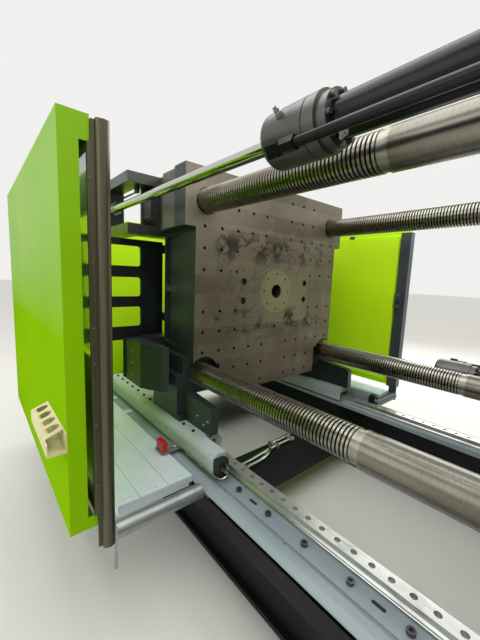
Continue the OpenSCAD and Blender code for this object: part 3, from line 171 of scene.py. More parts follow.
def milled_cast_iron():
    """Face-milled grey cast iron: brown-grey, cutter passes side by side, rust bloom and oil."""
    f = Finish("milled_cast_iron", "#7a715f", 0.44, metallic=0.4)
    t = f.tree
    _, y, z = add(t, "SeparateXYZ", {0: f.place}, give=None).outputs
    # Cutter passes 118 mm high, and wider fields across them, each a shade of its own
    for across, start, width, low, high, colour, rough, share in (
            (z, 0.0, 0.118, 0.2, 0.9, "#5a5040", 0.42, 0.8),
            (y, 0.31, 0.37, 0.3, 1.0, "#7f7663", 0.4, 0.5)):
        moved = add(t, "Math", {0: across, 1: start}, operation="ADD")
        lanes = add(t, "Math", {0: moved, 1: width}, operation="DIVIDE")
        lane = add(t, "Math", {0: lanes}, operation="FLOOR")
        tone = add(t, "TexWhiteNoise", {"W": lane}, noise_dimensions="1D")
        f.layer(add(t, "MapRange", {0: tone, 1: low, 2: high}, interpolation_type="SMOOTHSTEP"),
                colour, rough, share)
    # Feed marks, drawn coarser than the real 1 mm so that they show
    f.layer(f.cloud(3, 0.42, 0.6, stretch=(1, 40, 1)), "#544a3c", 0.5, 0.35)
    f.layer(f.cloud(420, 0.45, 0.7, seed=3), "#5b5040", 0.5, 0.7)
    # Upper front corner painted lighter: a painted highlight of window light
    corner = (add(t, "MapRange", {0: y, 1: 0.1, 2: -0.65}, interpolation_type="SMOOTHSTEP"),
              add(t, "MapRange", {0: z, 1: mm(CENTRE_H - 60), 2: mm(CENTRE_H + 480)},
                  interpolation_type="SMOOTHSTEP"))
    f.layer(corner, "#a59b88", 0.36, 0.6)
    f.layer(f.cloud(90, 0.55, 0.75, detail=6, seed=5), "#958b78", 0.38, 0.5)
    rel_z = add(t, "Math", {0: z, 1: mm(CENTRE_H)}, operation="SUBTRACT")

    def field(mid_y, mid_z, half_y, half_z, soft):
        """Masks of a rectangle on the face: its middle, half sizes and soft rim in metres."""
        return (strip(t, y, mid_y, half_y, half_y + soft),
                strip(t, rel_z, mid_z, half_z, half_z + soft))

    # The middle of the face, where moulds have stood, mottled by rust and old oil
    seat = field(0.125, 0.02, 0.6, 0.335, 0.012)
    f.layer(seat, "#6b634f", 0.42, 0.4)
    f.layer((*seat, f.cloud(48, 0.5, 0.62, detail=8, rough=0.7, seed=12)), "#43361f", 0.52, 0.5)
    f.layer(field(0.25, -0.065, 0.225, 0.17, 0.05), "#77794c", 0.34, 0.45)
    # Scribed lines, drawn 3 mm wide so that they show
    for level in (-0.292, -0.258, 0.415):
        f.layer(field(0.2, level, 0.64, 0.0015, 0.003), "#3b3122", 0.5, 0.4)
    # Dark rust blotches in two bands over and under the centre
    bands = add(t, "Math", {0: strip(t, rel_z, 0.315, 0.02, 0.15),
                            1: strip(t, rel_z, -0.225, 0.02, 0.13)}, operation="MAXIMUM")
    f.layer((bands, strip(t, y, 0.1, 0.52, 0.64),
             f.cloud(130, 0.49, 0.57, detail=8, rough=0.7, seed=1)), "#2a1c12", 0.6, 0.92)
    f.layer(f.cloud(60, 0.62, 0.72, detail=8, rough=0.7, seed=9), "#33261a", 0.6, 0.8)
    # Oily disc round the centre bore, darker at its rim
    off_y = add(t, "Math", {0: y, 1: mm(-ZERO_Y)}, operation="SUBTRACT")
    reach = add(t, "VectorMath", {0: add(t, "CombineXYZ", {1: off_y, 2: rel_z})},
                give="Value", operation="LENGTH")
    f.layer(strip(t, reach, 0.0, 0.165, 0.2), "#88885f", 0.3, 0.42)
    f.layer((strip(t, reach, 0.0, 0.188, 0.196),
             add(t, "MapRange", {0: reach, 1: 0.17, 2: 0.18}, interpolation_type="SMOOTHSTEP")),
            "#54502f", 0.5, 0.3)
    f.relief(f.cloud(2.4, 0.3, 0.7, stretch=(1, 30, 1)), 0.12, 0.5)
    return f.done()


def turned_bar_steel():
    """Turned and rolled tie bar steel: bright lock ridges, brown in the grooves, oiled."""
    f = Finish("turned_bar_steel", "#77746a", 0.24, metallic=1.0)
    t = f.tree
    x, y, z = add(t, "SeparateXYZ", {0: f.place}, give=None).outputs
    # Distance from the axis of the bar, the same for all four
    off = {}
    for key, along, middle, bar in ((1, y, -ZERO_Y, BAR_Y), (2, z, CENTRE_H, BAR_Z)):
        from_middle = add(t, "Math", {0: along, 1: mm(middle)}, operation="SUBTRACT")
        from_middle = add(t, "Math", {0: from_middle}, operation="ABSOLUTE")
        off[key] = add(t, "Math", {0: from_middle, 1: mm(bar)}, operation="SUBTRACT")
    radius = add(t, "VectorMath", {0: add(t, "CombineXYZ", off)},
                 give="Value", operation="LENGTH")
    f.layer(f.cloud(240, 0.4, 0.68, stretch=(2.5, 1, 1)), "#5d5a50", 0.33, 0.9)
    # Turning lines, drawn coarser than the real 0.3 mm so that they show
    f.layer(f.cloud(2.0, 0.35, 0.65, stretch=(1, 14, 14)), "#96938a", 0.26, 0.25)

    def rise(value, low, high):
        """A mask that grows from low to high, which are millimetres."""
        return add(t, "MapRange", {0: value, 1: mm(low), 2: mm(high)},
                   interpolation_type="SMOOTHSTEP")

    # Ridges up to the neck, dark and rusty away from their crests
    ridged = rise(x, NECK_X0 + 16 - ZERO_X, NECK_X0 - ZERO_X)
    f.layer(ridged, "#a19e92", 0.26, 0.85)
    f.layer((ridged, f.cloud(120, 0.46, 0.62, detail=6, seed=2)), "#7d6d58", 0.36, 0.3)
    crest, root = 76.2, 72.2
    f.layer((ridged, rise(radius, crest, root)), "#120f0d", 0.6, 0.97)
    f.layer((rise(x, NECK_X0 - ZERO_X, NECK_X0 + 12 - ZERO_X),
             rise(x, NECK_X1 - ZERO_X, NECK_X1 - 8 - ZERO_X)), "#9c9a8c", 0.3, 0.8)
    f.layer(f.cloud(16, 0.67, 0.72, detail=4, seed=7), "#4f4638", 0.5, 0.35)
    return f.done()


def hard_chrome():
    """Hard chrome on a ground rod: mirror-like, a faint turning grain."""
    f = Finish("hard_chrome", "#c9ccc8", 0.12, metallic=1.0)
    # Grinding lines, drawn coarser than the real 0.1 mm so that they show
    f.layer(f.cloud(1.5, 0.35, 0.65, stretch=(1, 20, 20)), "#aeb2ae", 0.18, 0.5)
    return f.done()


def gloss_black_tube():
    """Cold-drawn tube in black gloss enamel: deep, smooth, a few specks of dust."""
    f = Finish("gloss_black_enamel", "#111314", 0.24,
               others={"Coat Weight": 0.05, "Coat Roughness": 0.12, "Specular IOR Level": 0.2})
    f.layer(f.cloud(300, 0.45, 0.7, stretch=(3, 1, 1)), "#181b1c", 0.22, 0.8)
    f.layer(f.cloud(5, 0.74, 0.78, seed=4), "#9b9b92", 0.5, 0.5)
    return f.done()


def blackened_steel():
    """Turned steel, hot blackened: dark grey with a brushed sheen round the part."""
    f = Finish("blackened_steel", "#5c5c59", 0.32, metallic=0.75)
    f.layer(f.cloud(180, 0.42, 0.7), "#45484a", 0.38, 0.8)
    f.layer(f.cloud(2.2, 0.35, 0.65, stretch=(1, 16, 16)), "#62625f", 0.3, 0.35)
    f.layer(f.edges(2), "#85847d", 0.3, 0.6)
    return f.done()


def bed_paint():
    """Blue-grey machine enamel on the deck: satin, streaked by oil, speckled with swarf."""
    f = Finish("bed_enamel", "#9ba7ad", 0.36)
    f.layer(f.cloud(300, 0.4, 0.7, stretch=(5, 1, 1)), "#818d94", 0.28, 0.8)
    f.layer(f.cloud(60, 0.55, 0.75, stretch=(3, 1, 1), detail=5, seed=2), "#98a2a8", 0.45, 0.7)
    f.layer(f.cloud(9, 0.68, 0.73, detail=4, seed=6), "#b9bebf", 0.55, 0.75)
    f.layer(f.cloud(13, 0.69, 0.73, detail=4, seed=8), "#23282c", 0.5, 0.7)
    f.layer(f.edges(2.5, 0.25), "#8d979c", 0.35, 0.7)
    f.relief(f.cloud(5, 0.3, 0.7), 0.1, 0.4)
    return f.done()


def beam_paint():
    """Black primer on the welded beams: flat, dusty, a little oil run down."""
    f = Finish("beam_primer", "#0d0f10", 0.55, others={"Specular IOR Level": 0.25})
    f.layer(f.cloud(240, 0.45, 0.7, stretch=(1, 1, 3)), "#171b1d", 0.48, 0.8)
    f.layer(f.cloud(30, 0.6, 0.75, detail=5, seed=3), "#2a2e2f", 0.6, 0.5)
    f.layer(f.edges(2.5), "#4b5356", 0.45, 0.6)
    return f.done()


def ground_steel():
    """Ground rail steel: light, fine grain along the rail, brown smudges of old grease."""
    f = Finish("ground_rail_steel", "#d6d8d4", 0.3, metallic=0.75)
    # Grinding grain, drawn coarser than the real 0.1 mm so that it shows
    f.layer(f.cloud(2.5, 0.35, 0.65, stretch=(60, 1, 1)), "#a3a49c", 0.36, 0.5)
    f.layer(f.cloud(110, 0.5, 0.72, stretch=(2, 1, 1), detail=6), "#85837a", 0.42, 0.6)
    f.layer(f.cloud(22, 0.66, 0.74, detail=5, seed=2), "#4c463a", 0.5, 0.6)
    f.layer(f.edges(1.5), "#c8c9c2", 0.25, 0.6)
    return f.done()


def lime_powder_coat(name, colour, deeper, scuffed):
    """Lime powder coat on folded sheet: saturated, scuffed, with a painted reflection of overhead
    light above 1.4 m and none below.
    """
    f = Finish(name, colour, 0.4)
    height = add(f.tree, "SeparateXYZ", {0: f.place}, give=2)
    # Specular rises from none at 1.4 m to 0.2 at 2 m: a painted reflection of window light on the
    # upper panels
    f.shader["Specular IOR Level"] = add(f.tree, "MapRange", {0: height, 1: 1.4, 2: 2.0, 4: 0.2},
                                         interpolation_type="SMOOTHSTEP")
    f.layer(f.cloud(700, 0.4, 0.7), deeper, 0.44, 0.6)
    f.layer(f.cloud(60, 0.64, 0.8, detail=4, seed=2), scuffed, 0.42, 0.35)
    # Paler lime along the sharp edges: a painted highlight
    f.layer(f.edges(2), "#b4dc5a", 0.25, 0.5)
    # Orange peel, drawn wider than the real 2 mm so that it shows
    f.relief(f.cloud(6, 0.3, 0.7), 0.04, 0.35)
    return f.done()


def bronze_anodised():
    """Extruded aluminium, bronze anodised: drawn lines along it, dull silk sheen."""
    f = Finish("bronze_anodised_aluminium", "#4f4c3e", 0.36, metallic=0.7)
    f.layer(f.cloud(4, 0.35, 0.65, stretch=(1, 1, 120)), "#67634f", 0.32, 0.6)
    f.layer(f.cloud(120, 0.5, 0.75, stretch=(1, 1, 6), seed=2), "#3a382d", 0.42, 0.6)
    f.layer(f.edges(1.5), "#8f8b76", 0.3, 0.6)
    return f.done()


def walkway_sheet():
    """Grey painted tread sheet, worn to a cold shine where people walk."""
    f = Finish("worn_tread_sheet", "#dbe6ee", 0.36, metallic=0.15)
    f.layer(f.cloud(420, 0.42, 0.7), "#c6d2db", 0.42, 0.8)
    f.layer(f.cloud(70, 0.58, 0.75, stretch=(3, 1, 1), detail=6, seed=2), "#e6eff5", 0.3, 0.7)
    f.layer(f.cloud(14, 0.68, 0.74, detail=5, seed=5), "#6f777b", 0.5, 0.6)
    f.layer(f.edges(2), "#d2d9dc", 0.3, 0.6)
    return f.done()


def shoe_paint():
    """Light grey enamel on the guide shoes, dulled by oil mist."""
    f = Finish("shoe_enamel", "#bcc7ca", 0.34)
    f.layer(f.cloud(260, 0.42, 0.7, stretch=(3, 1, 1)), "#9ba6a4", 0.3, 0.7)
    f.layer(f.cloud(40, 0.6, 0.76, detail=5, seed=4), "#59625f", 0.45, 0.6)
    f.layer(f.edges(3, 0.25), "#c3c9c6", 0.25, 0.8)
    return f.done()


def satin_black():
    """Satin black enamel on folded sheet and blocks."""
    f = Finish("satin_black_enamel", "#14181a", 0.38)
    f.layer(f.cloud(150, 0.45, 0.72), "#1f2527", 0.44, 0.8)
    f.layer(f.edges(2), "#475053", 0.35, 0.65)
    return f.done()


def machined_steel(name, colour, darker, rough, metallic):
    """Plain machined steel with light stains."""
    f = Finish(name, colour, rough, metallic=metallic)
    f.layer(f.cloud(90, 0.45, 0.72, detail=5), darker, rough + 0.08, 0.8)
    f.layer(f.edges(1.5), "#d0d0ca", 0.25, 0.5)
    return f.done()


def plain_enamel(name, colour, shade, rough):
    """Brushed or sprayed enamel with a slow change of shade."""
    f = Finish(name, colour, rough)
    f.layer(f.cloud(300, 0.42, 0.72), shade, rough + 0.06, 0.8)
    f.layer(f.cloud(30, 0.64, 0.76, detail=5, seed=3), shade, rough + 0.15, 0.5)
    f.relief(f.cloud(6, 0.3, 0.7), 0.05, 0.3)
    return f.done()


def polycarbonate():
    """Clear polycarbonate pane: a faint green edge, small scuffs."""
    f = Finish("clear_polycarbonate", "#e9f2ec", 0.04,
               others={"IOR": 1.58, "Transmission Weight": 1.0})
    f.layer(f.cloud(40, 0.66, 0.8, detail=6), "#ffffff", 0.16, 0.6)
    return f.done()


paint_cast = cast_iron_paint()
face_iron = milled_cast_iron()
bar_steel = turned_bar_steel()
chrome = hard_chrome()
tube_black = gloss_black_tube()
steel_dark = blackened_steel()
deck_enamel = bed_paint()
beam_black = beam_paint()
rail_steel = ground_steel()
# The guards' inner sides get a copy of the lime coat painted lighter, to make up for the shade
# inside the guards
lime = lime_powder_coat("lime_powder_coat", "#82b40c", "#78a806", "#8db62c")
lime_brightened_for_shade = lime_powder_coat("lime_powder_coat_brightened_for_shade", "#ccfa20", "#c2f216", "#d2fa4a")
bronze = bronze_anodised()
tread = walkway_sheet()
shoe_grey = shoe_paint()
black_enamel = satin_black()
zinc = machined_steel("zinc_plated_steel", "#a4a9a9", "#868b8c", 0.34, 0.7)
bare_steel = machined_steel("machined_steel", "#8b887e", "#6d6a60", 0.36, 0.75)
strip_steel = machined_steel("milled_ear_strip", "#6d6b63", "#56544d", 0.4, 0.6)
brass = machined_steel("brass_fitting", "#a98a45", "#7f6630", 0.32, 0.9)
beige_sheet = plain_enamel("beige_pressed_sheet", "#d6cf9e", "#bdb587", 0.42)
light_grey = plain_enamel("light_grey_enamel", "#8e9499", "#7d8388", 0.36)
slate_grey = plain_enamel("slate_enamel", "#3b4048", "#2f343b", 0.4)
red_plastic = plain_enamel("red_moulded_abs", "#c01c18", "#a01410", 0.28)
green_plastic = plain_enamel("green_moulded_abs", "#2f8a3a", "#24702e", 0.3)
orange_jacket = plain_enamel("orange_cable_jacket", "#a8592c", "#8a4720", 0.45)
pale_plastic = plain_enamel("pale_grey_abs", "#a9a795", "#8e8c7b", 0.42)
glass_dark = plain_enamel("smoked_display_glass", "#10161b", "#161e24", 0.12)
pane = polycarbonate()

# The CAD nodes: a material for each, some by the way a face looks

finish_of = {
    "bed_frame": beam_black, "levelling_pads": steel_dark, "guide_rails": rail_steel,
    "deck_screws": steel_dark, "position_rods": chrome, "moving_platen": paint_cast,
    "fixed_platen": paint_cast, "tie_bars": bar_steel, "tie_bar_nuts": steel_dark,
    "lock_nuts_front_outer": steel_dark, "lock_nuts_front_inner": steel_dark,
    "lock_nuts_rear_inner": steel_dark, "lock_nuts_rear_outer": steel_dark,
    "lock_housings": steel_dark, "lock_drives_front": black_enamel,
    "lock_drives_rear": black_enamel, "lock_rods_front": chrome, "lock_rods_rear": chrome,
    "lock_covers": paint_cast, "safety_screens": black_enamel, "guide_shoes": shoe_grey,
    "runner_blocks": steel_dark, "shoe_end_blocks": black_enamel,
    "traverse_heads": steel_dark, "traverse_tubes": tube_black, "traverse_rods": chrome,
    "traverse_pipes": tube_black, "ejector_plate": steel_dark, "ejector_rods": bare_steel,
    "ejector_cylinders": black_enamel, "ejector_pistons": chrome, "walkway": tread,
    "door_tracks": beam_black, "front_door_shell": lime, "front_door_frame": bronze,
    "front_door_pane": pane, "front_door_carriers": zinc, "can_holder": beige_sheet,
    "rear_door_shell": lime_brightened_for_shade, "rear_door_frame": slate_grey, "end_guard": lime_brightened_for_shade,
    "side_guards": lime_brightened_for_shade, "platen_covers": lime, "lubrication_unit": black_enamel,
    "panel_arm": light_grey, "operator_panel": slate_grey, "emergency_stop": red_plastic,
    "injection_base": light_grey, "injection_slide": slate_grey, "barrel": bare_steel,
    "heater_bands": zinc, "screw": bare_steel, "barrel_guard": light_grey,
    "hopper": zinc, "hopper_lid": zinc, "screw_drive": black_enamel,
    "injection_cylinders": black_enamel, "injection_pistons": chrome,
    "cabinet_door_left": light_grey, "cabinet_door_right": light_grey,
}

for name, part in nodes.items():
    part.data.materials.clear()
    part.data.materials.append(finish_of[name])
    part.data.shade_smooth()
    part.data.set_sharp_from_angle(angle=CREASE)


def repaint(name, material, wanted):
    """Gives the faces that the test picks another material."""
    mesh = nodes[name].data
    mesh.materials.append(material)
    index = len(mesh.materials) - 1
    for face in mesh.polygons:
        x, y, z = face.center
        if wanted(x * 1000 + ZERO_X, y * 1000 + ZERO_Y, z * 1000, face.normal):
            face.material_index = index


def on_ear_strip(x, y, z, n):
    """The milled strips on the sides of the moving platen's upper ears."""
    return abs(n.y) > 0.9 and abs(y) > 800 and -430 < x < -131 and z > CENTRE_H + 390


# The open faces of the platens, the deck over the beams, and what faces outwards on guards
repaint("moving_platen", face_iron, lambda x, y, z, n: n.x > 0.9 and abs(x) < 2)
repaint("moving_platen", strip_steel, on_ear_strip)
repaint("fixed_platen", face_iron, lambda x, y, z, n: n.x < -0.9 and abs(x - FIXED_FACE) < 2)
repaint("bed_frame", deck_enamel, lambda x, y, z, n: abs(y) > DECK_INNER and z > DECK_LOW)
# Outward faces take the plain lime; inner faces keep the lime copy painted lighter against the
# shade inside
repaint("end_guard", lime, lambda x, y, z, n: n.x < -0.9 or abs(n.y) > 0.9)
repaint("side_guards", lime, lambda x, y, z, n: y * n.y > 0 and abs(n.y) > 0.9)
repaint("rear_door_shell", lime, lambda x, y, z, n: n.y > 0.9)
repaint("operator_panel", light_grey, lambda x, y, z, n: y > PANEL_BACK and n.y > 0.5)


# Drawing

# No tube runs this way, so it gives each a side to start from
ASLANT = Vector((0.31, 0.17, 0.93))
CORNER_CUTS = 3


class Draft:
    """A mesh being drawn. Each face takes the material that is in hand when it is made."""

    def __init__(self, material):
        self.bm = bmesh.new()
        self.materials = []
        self.take(material)

    def take(self, material):
        """Takes a material in hand for what is drawn next."""
        if material not in self.materials:
            self.materials.append(material)
        self.hand = self.materials.index(material)

    def face(self, *corners):
        """One face in the material that is in hand."""
        made = self.bm.faces.new(corners)
        made.material_index = self.hand
        made.smooth = True

    def rings(self, rows):
        """Skins closed rows of points; a row of one point closes an end."""
        rows = [[self.bm.verts.new(p) for p in row] for row in rows]
        for a, b in zip(rows, rows[1:]):
            count = max(len(a), len(b))
            for i in range(count):
                j = (i + 1) % count
                if len(a) == 1:
                    self.face(a[0], b[i], b[j])
                elif len(b) == 1:
                    self.face(a[i], b[0], a[j])
                else:
                    self.face(a[i], b[i], b[j], a[j])

    def lathe(self, origin, axis, profile, steps):
        """Turns a profile of (along, radius) round an axis through origin."""
        basis = axis_frame(axis)
        turns = [math.tau * k / steps for k in range(steps)]
        self.rings([[spot(origin, basis, along, radius * math.cos(a), radius * math.sin(a))
                     for a in (turns if radius > 0 else turns[:1])]
                    for along, radius in profile])

    def prism(self, origin, axis, outline, depth, chamfer):
        """Pushes a closed outline along an axis, its edges broken by a chamfer."""
        basis = axis_frame(axis)
        cx = sum(p[0] for p in outline) / len(outline)
        cy = sum(p[1] for p in outline) / len(outline)

        def row(along, inset):
            """The outline at a depth, drawn in by inset."""
            points = []
            for u, v in outline:
                k = max(0.0, 1 - inset / math.hypot(u - cx, v - cy))
                points.append(spot(origin, basis, along, cx + (u - cx) * k, cy + (v - cy) * k))
            return points

        self.rings([[spot(origin, basis, 0, cx, cy)], row(0, chamfer), row(chamfer, 0),
                    row(depth - chamfer, 0), row(depth, chamfer),
                    [spot(origin, basis, depth, cx, cy)]])

    def tube(self, path, radius, steps, cuts):
        """Bends a round tube along a path, its ends rounded off."""
        points = smoothed([at(*p) for p in path], cuts)
        last = len(points) - 1
        r = mm(radius)
        side = None
        rows = []
        for i, p in enumerate(points):
            way = (points[min(i + 1, last)] - points[max(i - 1, 0)]).normalized()
            side = way.cross(ASLANT).normalized() if side is None else side
            side = (side - way * side.dot(way)).normalized()
            other = way.cross(side)
            ring = [side * math.cos(a) + other * math.sin(a)
                    for a in (math.tau * k / steps for k in range(steps))]
            # Each end closes over a smaller ring and a point
            if i == 0:
                rows.append([p - way * r * 0.4])
                rows.append([p + u * r * 0.75 - way * r * 0.25 for u in ring])
            rows.append([p + u * r for u in ring])
            if i == last:
                rows.append([p + u * r * 0.75 + way * r * 0.25 for u in ring])
                rows.append([p + way * r * 0.4])
        self.rings(rows)

    def place(self, name, body, slot):
        """Ends the drawing: a smooth mesh with crisp edges that rides on a body."""
        bmesh.ops.recalc_face_normals(self.bm, faces=self.bm.faces)
        mesh = bpy.data.meshes.new(name)
        self.bm.to_mesh(mesh)
        self.bm.free()
        for material in self.materials:
            mesh.materials.append(material)
        mesh.set_sharp_from_angle(angle=CREASE)
        made = bpy.data.objects.new(name, mesh)
        bpy.context.scene.collection.objects.link(made)
        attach(made, body)


def axis_frame(axis):
    """Along, across and up, for an axis such as "-x" or for any direction."""
    if isinstance(axis, str):
        ways = [Vector((1, 0, 0)), Vector((0, 1, 0)), Vector((0, 0, 1))]
        along = ways.pop("xyz".index(axis[1]))
        return (-along if axis[0] == "-" else along), *ways
    along = Vector(axis).normalized()
    across = along.cross(Vector((0, 0, 1)))
    across = across.normalized() if across.length > 1e-4 else Vector((1, 0, 0))
    return along, across, across.cross(along)


def spot(origin, basis, along, u, v):
    """The point at along, across and up from an origin."""
    return at(*origin) + (basis[0] * along + basis[1] * u + basis[2] * v) / 1000


def smoothed(points, cuts):
    """A curve through the points, cuts pieces between each two."""
    if cuts < 2:
        return points
    out = []
    for i in range(len(points) - 1):
        p0, p1, p2 = points[max(i - 1, 0)], points[i], points[i + 1]
        p3 = points[min(i + 2, len(points) - 1)]
        for k in range(cuts):
            t = k / cuts
            out.append(0.5 * ((2 * p1) + (p2 - p0) * t + (2 * p0 - 5 * p1 + 4 * p2 - p3) * t * t
                              + (3 * p1 - p0 - 3 * p2 + p3) * t ** 3))
    return out + points[-1:]


def box_outline(w, h, r=0.0):
    """A rectangle about zero, its corners rounded by r."""
    if r <= 0:
        return [(-w / 2, -h / 2), (w / 2, -h / 2), (w / 2, h / 2), (-w / 2, h / 2)]
    u, v = w / 2 - r, h / 2 - r
    out = []
    for k, (cx, cy) in enumerate(((u, v), (-u, v), (-u, -v), (u, -v))):
        for s in range(CORNER_CUTS + 1):
            a = math.pi / 2 * (k + s / CORNER_CUTS)
            out.append((cx + r * math.cos(a), cy + r * math.sin(a)))
    return out


def span(name):
    """Lowest and highest corner of a CAD node in the machine's millimetres."""
    low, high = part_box(name)
    shift = Vector((ZERO_X, ZERO_Y, 0.0))
    return Vector(low) * 1000 + shift, Vector(high) * 1000 + shift


# What several pieces are made of

def socket_screw(draft, origin, axis, d):
    """Socket head screw of thread d standing on a face: turned head with its recess."""
    draft.lathe(origin, axis, [(0, 0), (0, d * 0.75), (d * 0.75, d * 0.75), (d * 0.9, d * 0.675),
                               (d * 0.9, d * 0.5), (d * 0.45, d * 0.46), (d * 0.45, 0)], 18)


def hex_screw(draft, origin, axis, d):
    """Hexagon head screw of thread d with its washer."""
    draft.lathe(origin, axis, [(0, 0), (0, d * 1.05), (d * 0.16, d * 1.05), (d * 0.18, 0)], 20)
    draft.lathe(origin, axis, [(0, 0), (0, d * 0.86), (d * 0.6, d * 0.86), (d * 0.7, d * 0.74),
                               (d * 0.7, 0)], 6)


def block(draft, low, high, chamfer=2.0):
    """A block between two corners, its long edges broken."""
    (x0, y0, z0), (x1, y1, z1) = low, high
    draft.prism(((x0 + x1) / 2, (y0 + y1) / 2, z0), "+z", box_outline(x1 - x0, y1 - y0),
                z1 - z0, chamfer)


def facing(side):
    """The axis that points away from the machine on one of its sides."""
    return "-y" if side < 0 else "+y"


def panel(draft, place, size, depth, side, corner):
    """A thin pressed panel, centred on a place of the front or rear wall."""
    draft.prism(place, facing(side), box_outline(*size, corner), depth, 1.5)


def grip(draft, points, radius):
    """A bent round handle with a flange at each foot."""
    draft.tube(points, radius, 12, 5)
    for foot, near in ((points[0], points[1]), (points[-1], points[-2])):
        way = Vector(near) - Vector(foot)
        draft.lathe(foot, way, [(0, 0), (0, radius * 1.9), (4, radius * 1.9), (5, 0)], 18)


# The pieces, in the order of the machine: clamp, guides, bed, guards, injection unit

def keeper_screws():
    """Screws through the keeper plates and round the rod anchors."""
    d = Draft(steel_dark)
    plate_back = -589
    for side in SIDES:
        for level in LEVELS:
            for y in (507, 858):
                for z in (-172, -60, 60, 172):
                    socket_screw(d, (plate_back, side * y, CENTRE_H + level * BAR_Z + z), "-x", 16)
    d.place("keeper_plate_screws", "clamp", "dark_steel")


def rod_gauge():
    """Ground gauge rod beside the traverse rod, held by the anchor and a hanging block."""
    y, z = -938, 2222
    d = Draft(chrome)
    d.tube([(-822, y, z), (-700, y, z), (-536, y, z)], 7, 14, 1)
    d.take(black_enamel)
    block(d, (-548, y - 10, z - 6), (-506, y + 14, z + 40))
    d.place("gauge_rod", "clamp", "chrome_rod")


def shoe_screws():
    """Black screws on the shoe tops, ahead of and behind the foot."""
    shoe_y, shoe_top = 846, 664
    pitch = 119
    d = Draft(black_enamel)
    for side in SIDES:
        for x in (20, 20 + pitch, *(-500 - pitch * k for k in range(7))):
            socket_screw(d, (x, side * shoe_y, shoe_top), "+z", 13)
    d.place("shoe_screws", "clamp", "machinery_black")


def shoe_lubrication():
    """Grease distributor on its bracket, its line along the shoe, fittings at the end block."""
    d = Draft(zinc)
    plate_top = 556
    block(d, (-2, -1040, plate_top - 5), (100, -904, plate_top), 1)
    d.take(red_plastic)
    block(d, (8, -1034, plate_top), (92, -1000, 622), 3)
    d.take(green_plastic)
    for z in (574, 604):
        d.lathe((8, -1017, z), "-x", [(0, 0), (0, 7), (7, 6), (8, 0)], 14)
    d.take(pale_plastic)
    outlet = (60, -1000, 570)
    d.lathe(outlet, "+y", [(0, 0), (0, 9), (14, 9), (15, 6), (22, 6), (22, 0)], 6)
    d.take(chrome)
    d.tube([(60, -982, 570), (64, -966, 566), (70, -932, 562), (110, -913, 560), (209, -911, 558),
            (367, -911, 558), (470, -911, 560), (512, -904, 566), (528, -880, 574),
            (518, -862, 580), (497, -860, 582)], 4.5, 10, 5)
    d.take(zinc)
    for x in (180, 330):
        block(d, (x, -918, 550), (x + 16, -904, 570), 1)
    end_block = 491
    for z, r in ((612, 12), (582, 11)):
        d.lathe((end_block, -858, z), "+x",
                [(0, 0), (0, r), (14, r), (15, r * 0.7), (24, r * 0.7), (24, 0)], 6)
    d.take(brass)
    d.lathe((end_block, -884, 602), "+x",
            [(0, 0), (0, 9), (10, 9), (11, 5), (18, 5), (19, 0)], 6)
    d.place("shoe_grease_line", "clamp", "machinery_black")


def foot_fittings():
    """Wiper bracket ahead of the nose, grease nipples on the nose and the shoe."""
    top, front = 674, 316
    for side, end in zip(SIDES, ("front", "rear")):
        y = side * 772
        d = Draft(zinc)
        block(d, (265, y - 22, top - 6), (front + 2, y + 22, top), 1)
        block(d, (front - 6, y - 22, 634), (front, y + 22, top), 1)
        for dy in (-12, 12):
            hex_screw(d, (290, y + dy, top), "+z", 7)
        d.take(pale_plastic)
        for x, z in ((190, 716), (236, 752), (120, 752)):
            d.lathe((x, side * 800, z), facing(side),
                    [(0, 0), (0, 6), (4, 6), (5, 3.5), (10, 3.5), (11, 0)], 12)
        d.place("nose_wiper_" + end, "clamp", "zinc_plate")


def cover_hinge():
    """Knuckled hinge down the back edge of the lower nut cover, and its screws."""
    low, high = span("lock_covers")
    d = Draft(black_enamel)
    knuckles, barrel = 9, 8
    length = (high.z - low.z - 16) / knuckles
    profile = [(0, 0)]
    for k in range(knuckles):
        end = (k + 1) * length
        profile += [(k * length, barrel), (end - 3, barrel), (end - 2, barrel - 1.5)]
    profile.append((knuckles * length, 0))
    d.lathe((low.x + 1, low.y + 2, low.z + 8), "+z", profile, 14)
    d.take(zinc)
    for z in (60, 150, 240):
        hex_screw(d, (low.x + 150, low.y + 8, low.z + z), "-y", 8)
    d.place("nut_cover_hinge", "clamp", "machinery_black")


def ram_fittings():
    """Bleed plug and pressure tap on each traverse cylinder."""
    for side, end in zip(SIDES, ("front", "rear")):
        d = Draft(zinc)
        centre = Vector((0, side * RAM_Y, CENTRE_H - side * RAM_REL))
        tube_tap = (1200, 59, (0, side * 0.5, side * 0.87))
        drum_tap = (990, 94, (0, side * 0.9, -side * 0.44))
        for x, radius, way in (tube_tap, drum_tap):
            foot = centre + Vector(way).normalized() * (radius - 1)
            d.lathe((x, foot.y, foot.z), way, [(0, 0), (0, 15), (12, 15), (13, 10), (24, 10),
                                               (25, 7), (33, 7), (33, 0)], 6)
        d.place("ram_fittings_" + end, "machine", "zinc_plate")


def bed_pipes():
    """Two bright hydraulic pipes that lie on the cross member and pass into the beam."""
    z = 416
    d = Draft(chrome)
    for route in (((226, -40), (228, -130), (235, -216), (288, -285), (338, -400), (349, -571),
                   (352, -660), (352, -702)),
                  ((272, -40), (274, -200), (287, -345), (304, -500), (308, -640), (308, -702))):
        d.take(chrome)
        d.tube([(x, y, z) for x, y in route], 13, 14, 5)
        d.take(zinc)
        x, y = route[0]
        d.lathe((x, y + 26, z), "-y", [(0, 0), (0, 20), (30, 20), (32, 15), (44, 15), (44, 0)], 6)
        for clip in (-240, -600):
            x, y = min(route, key=lambda p: abs(p[1] - clip))
            block(d, (x - 24, y - 9, z - 17), (x + 24, y + 9, z + 16))
    d.place("bed_pipes", "machine", "chrome_rod")


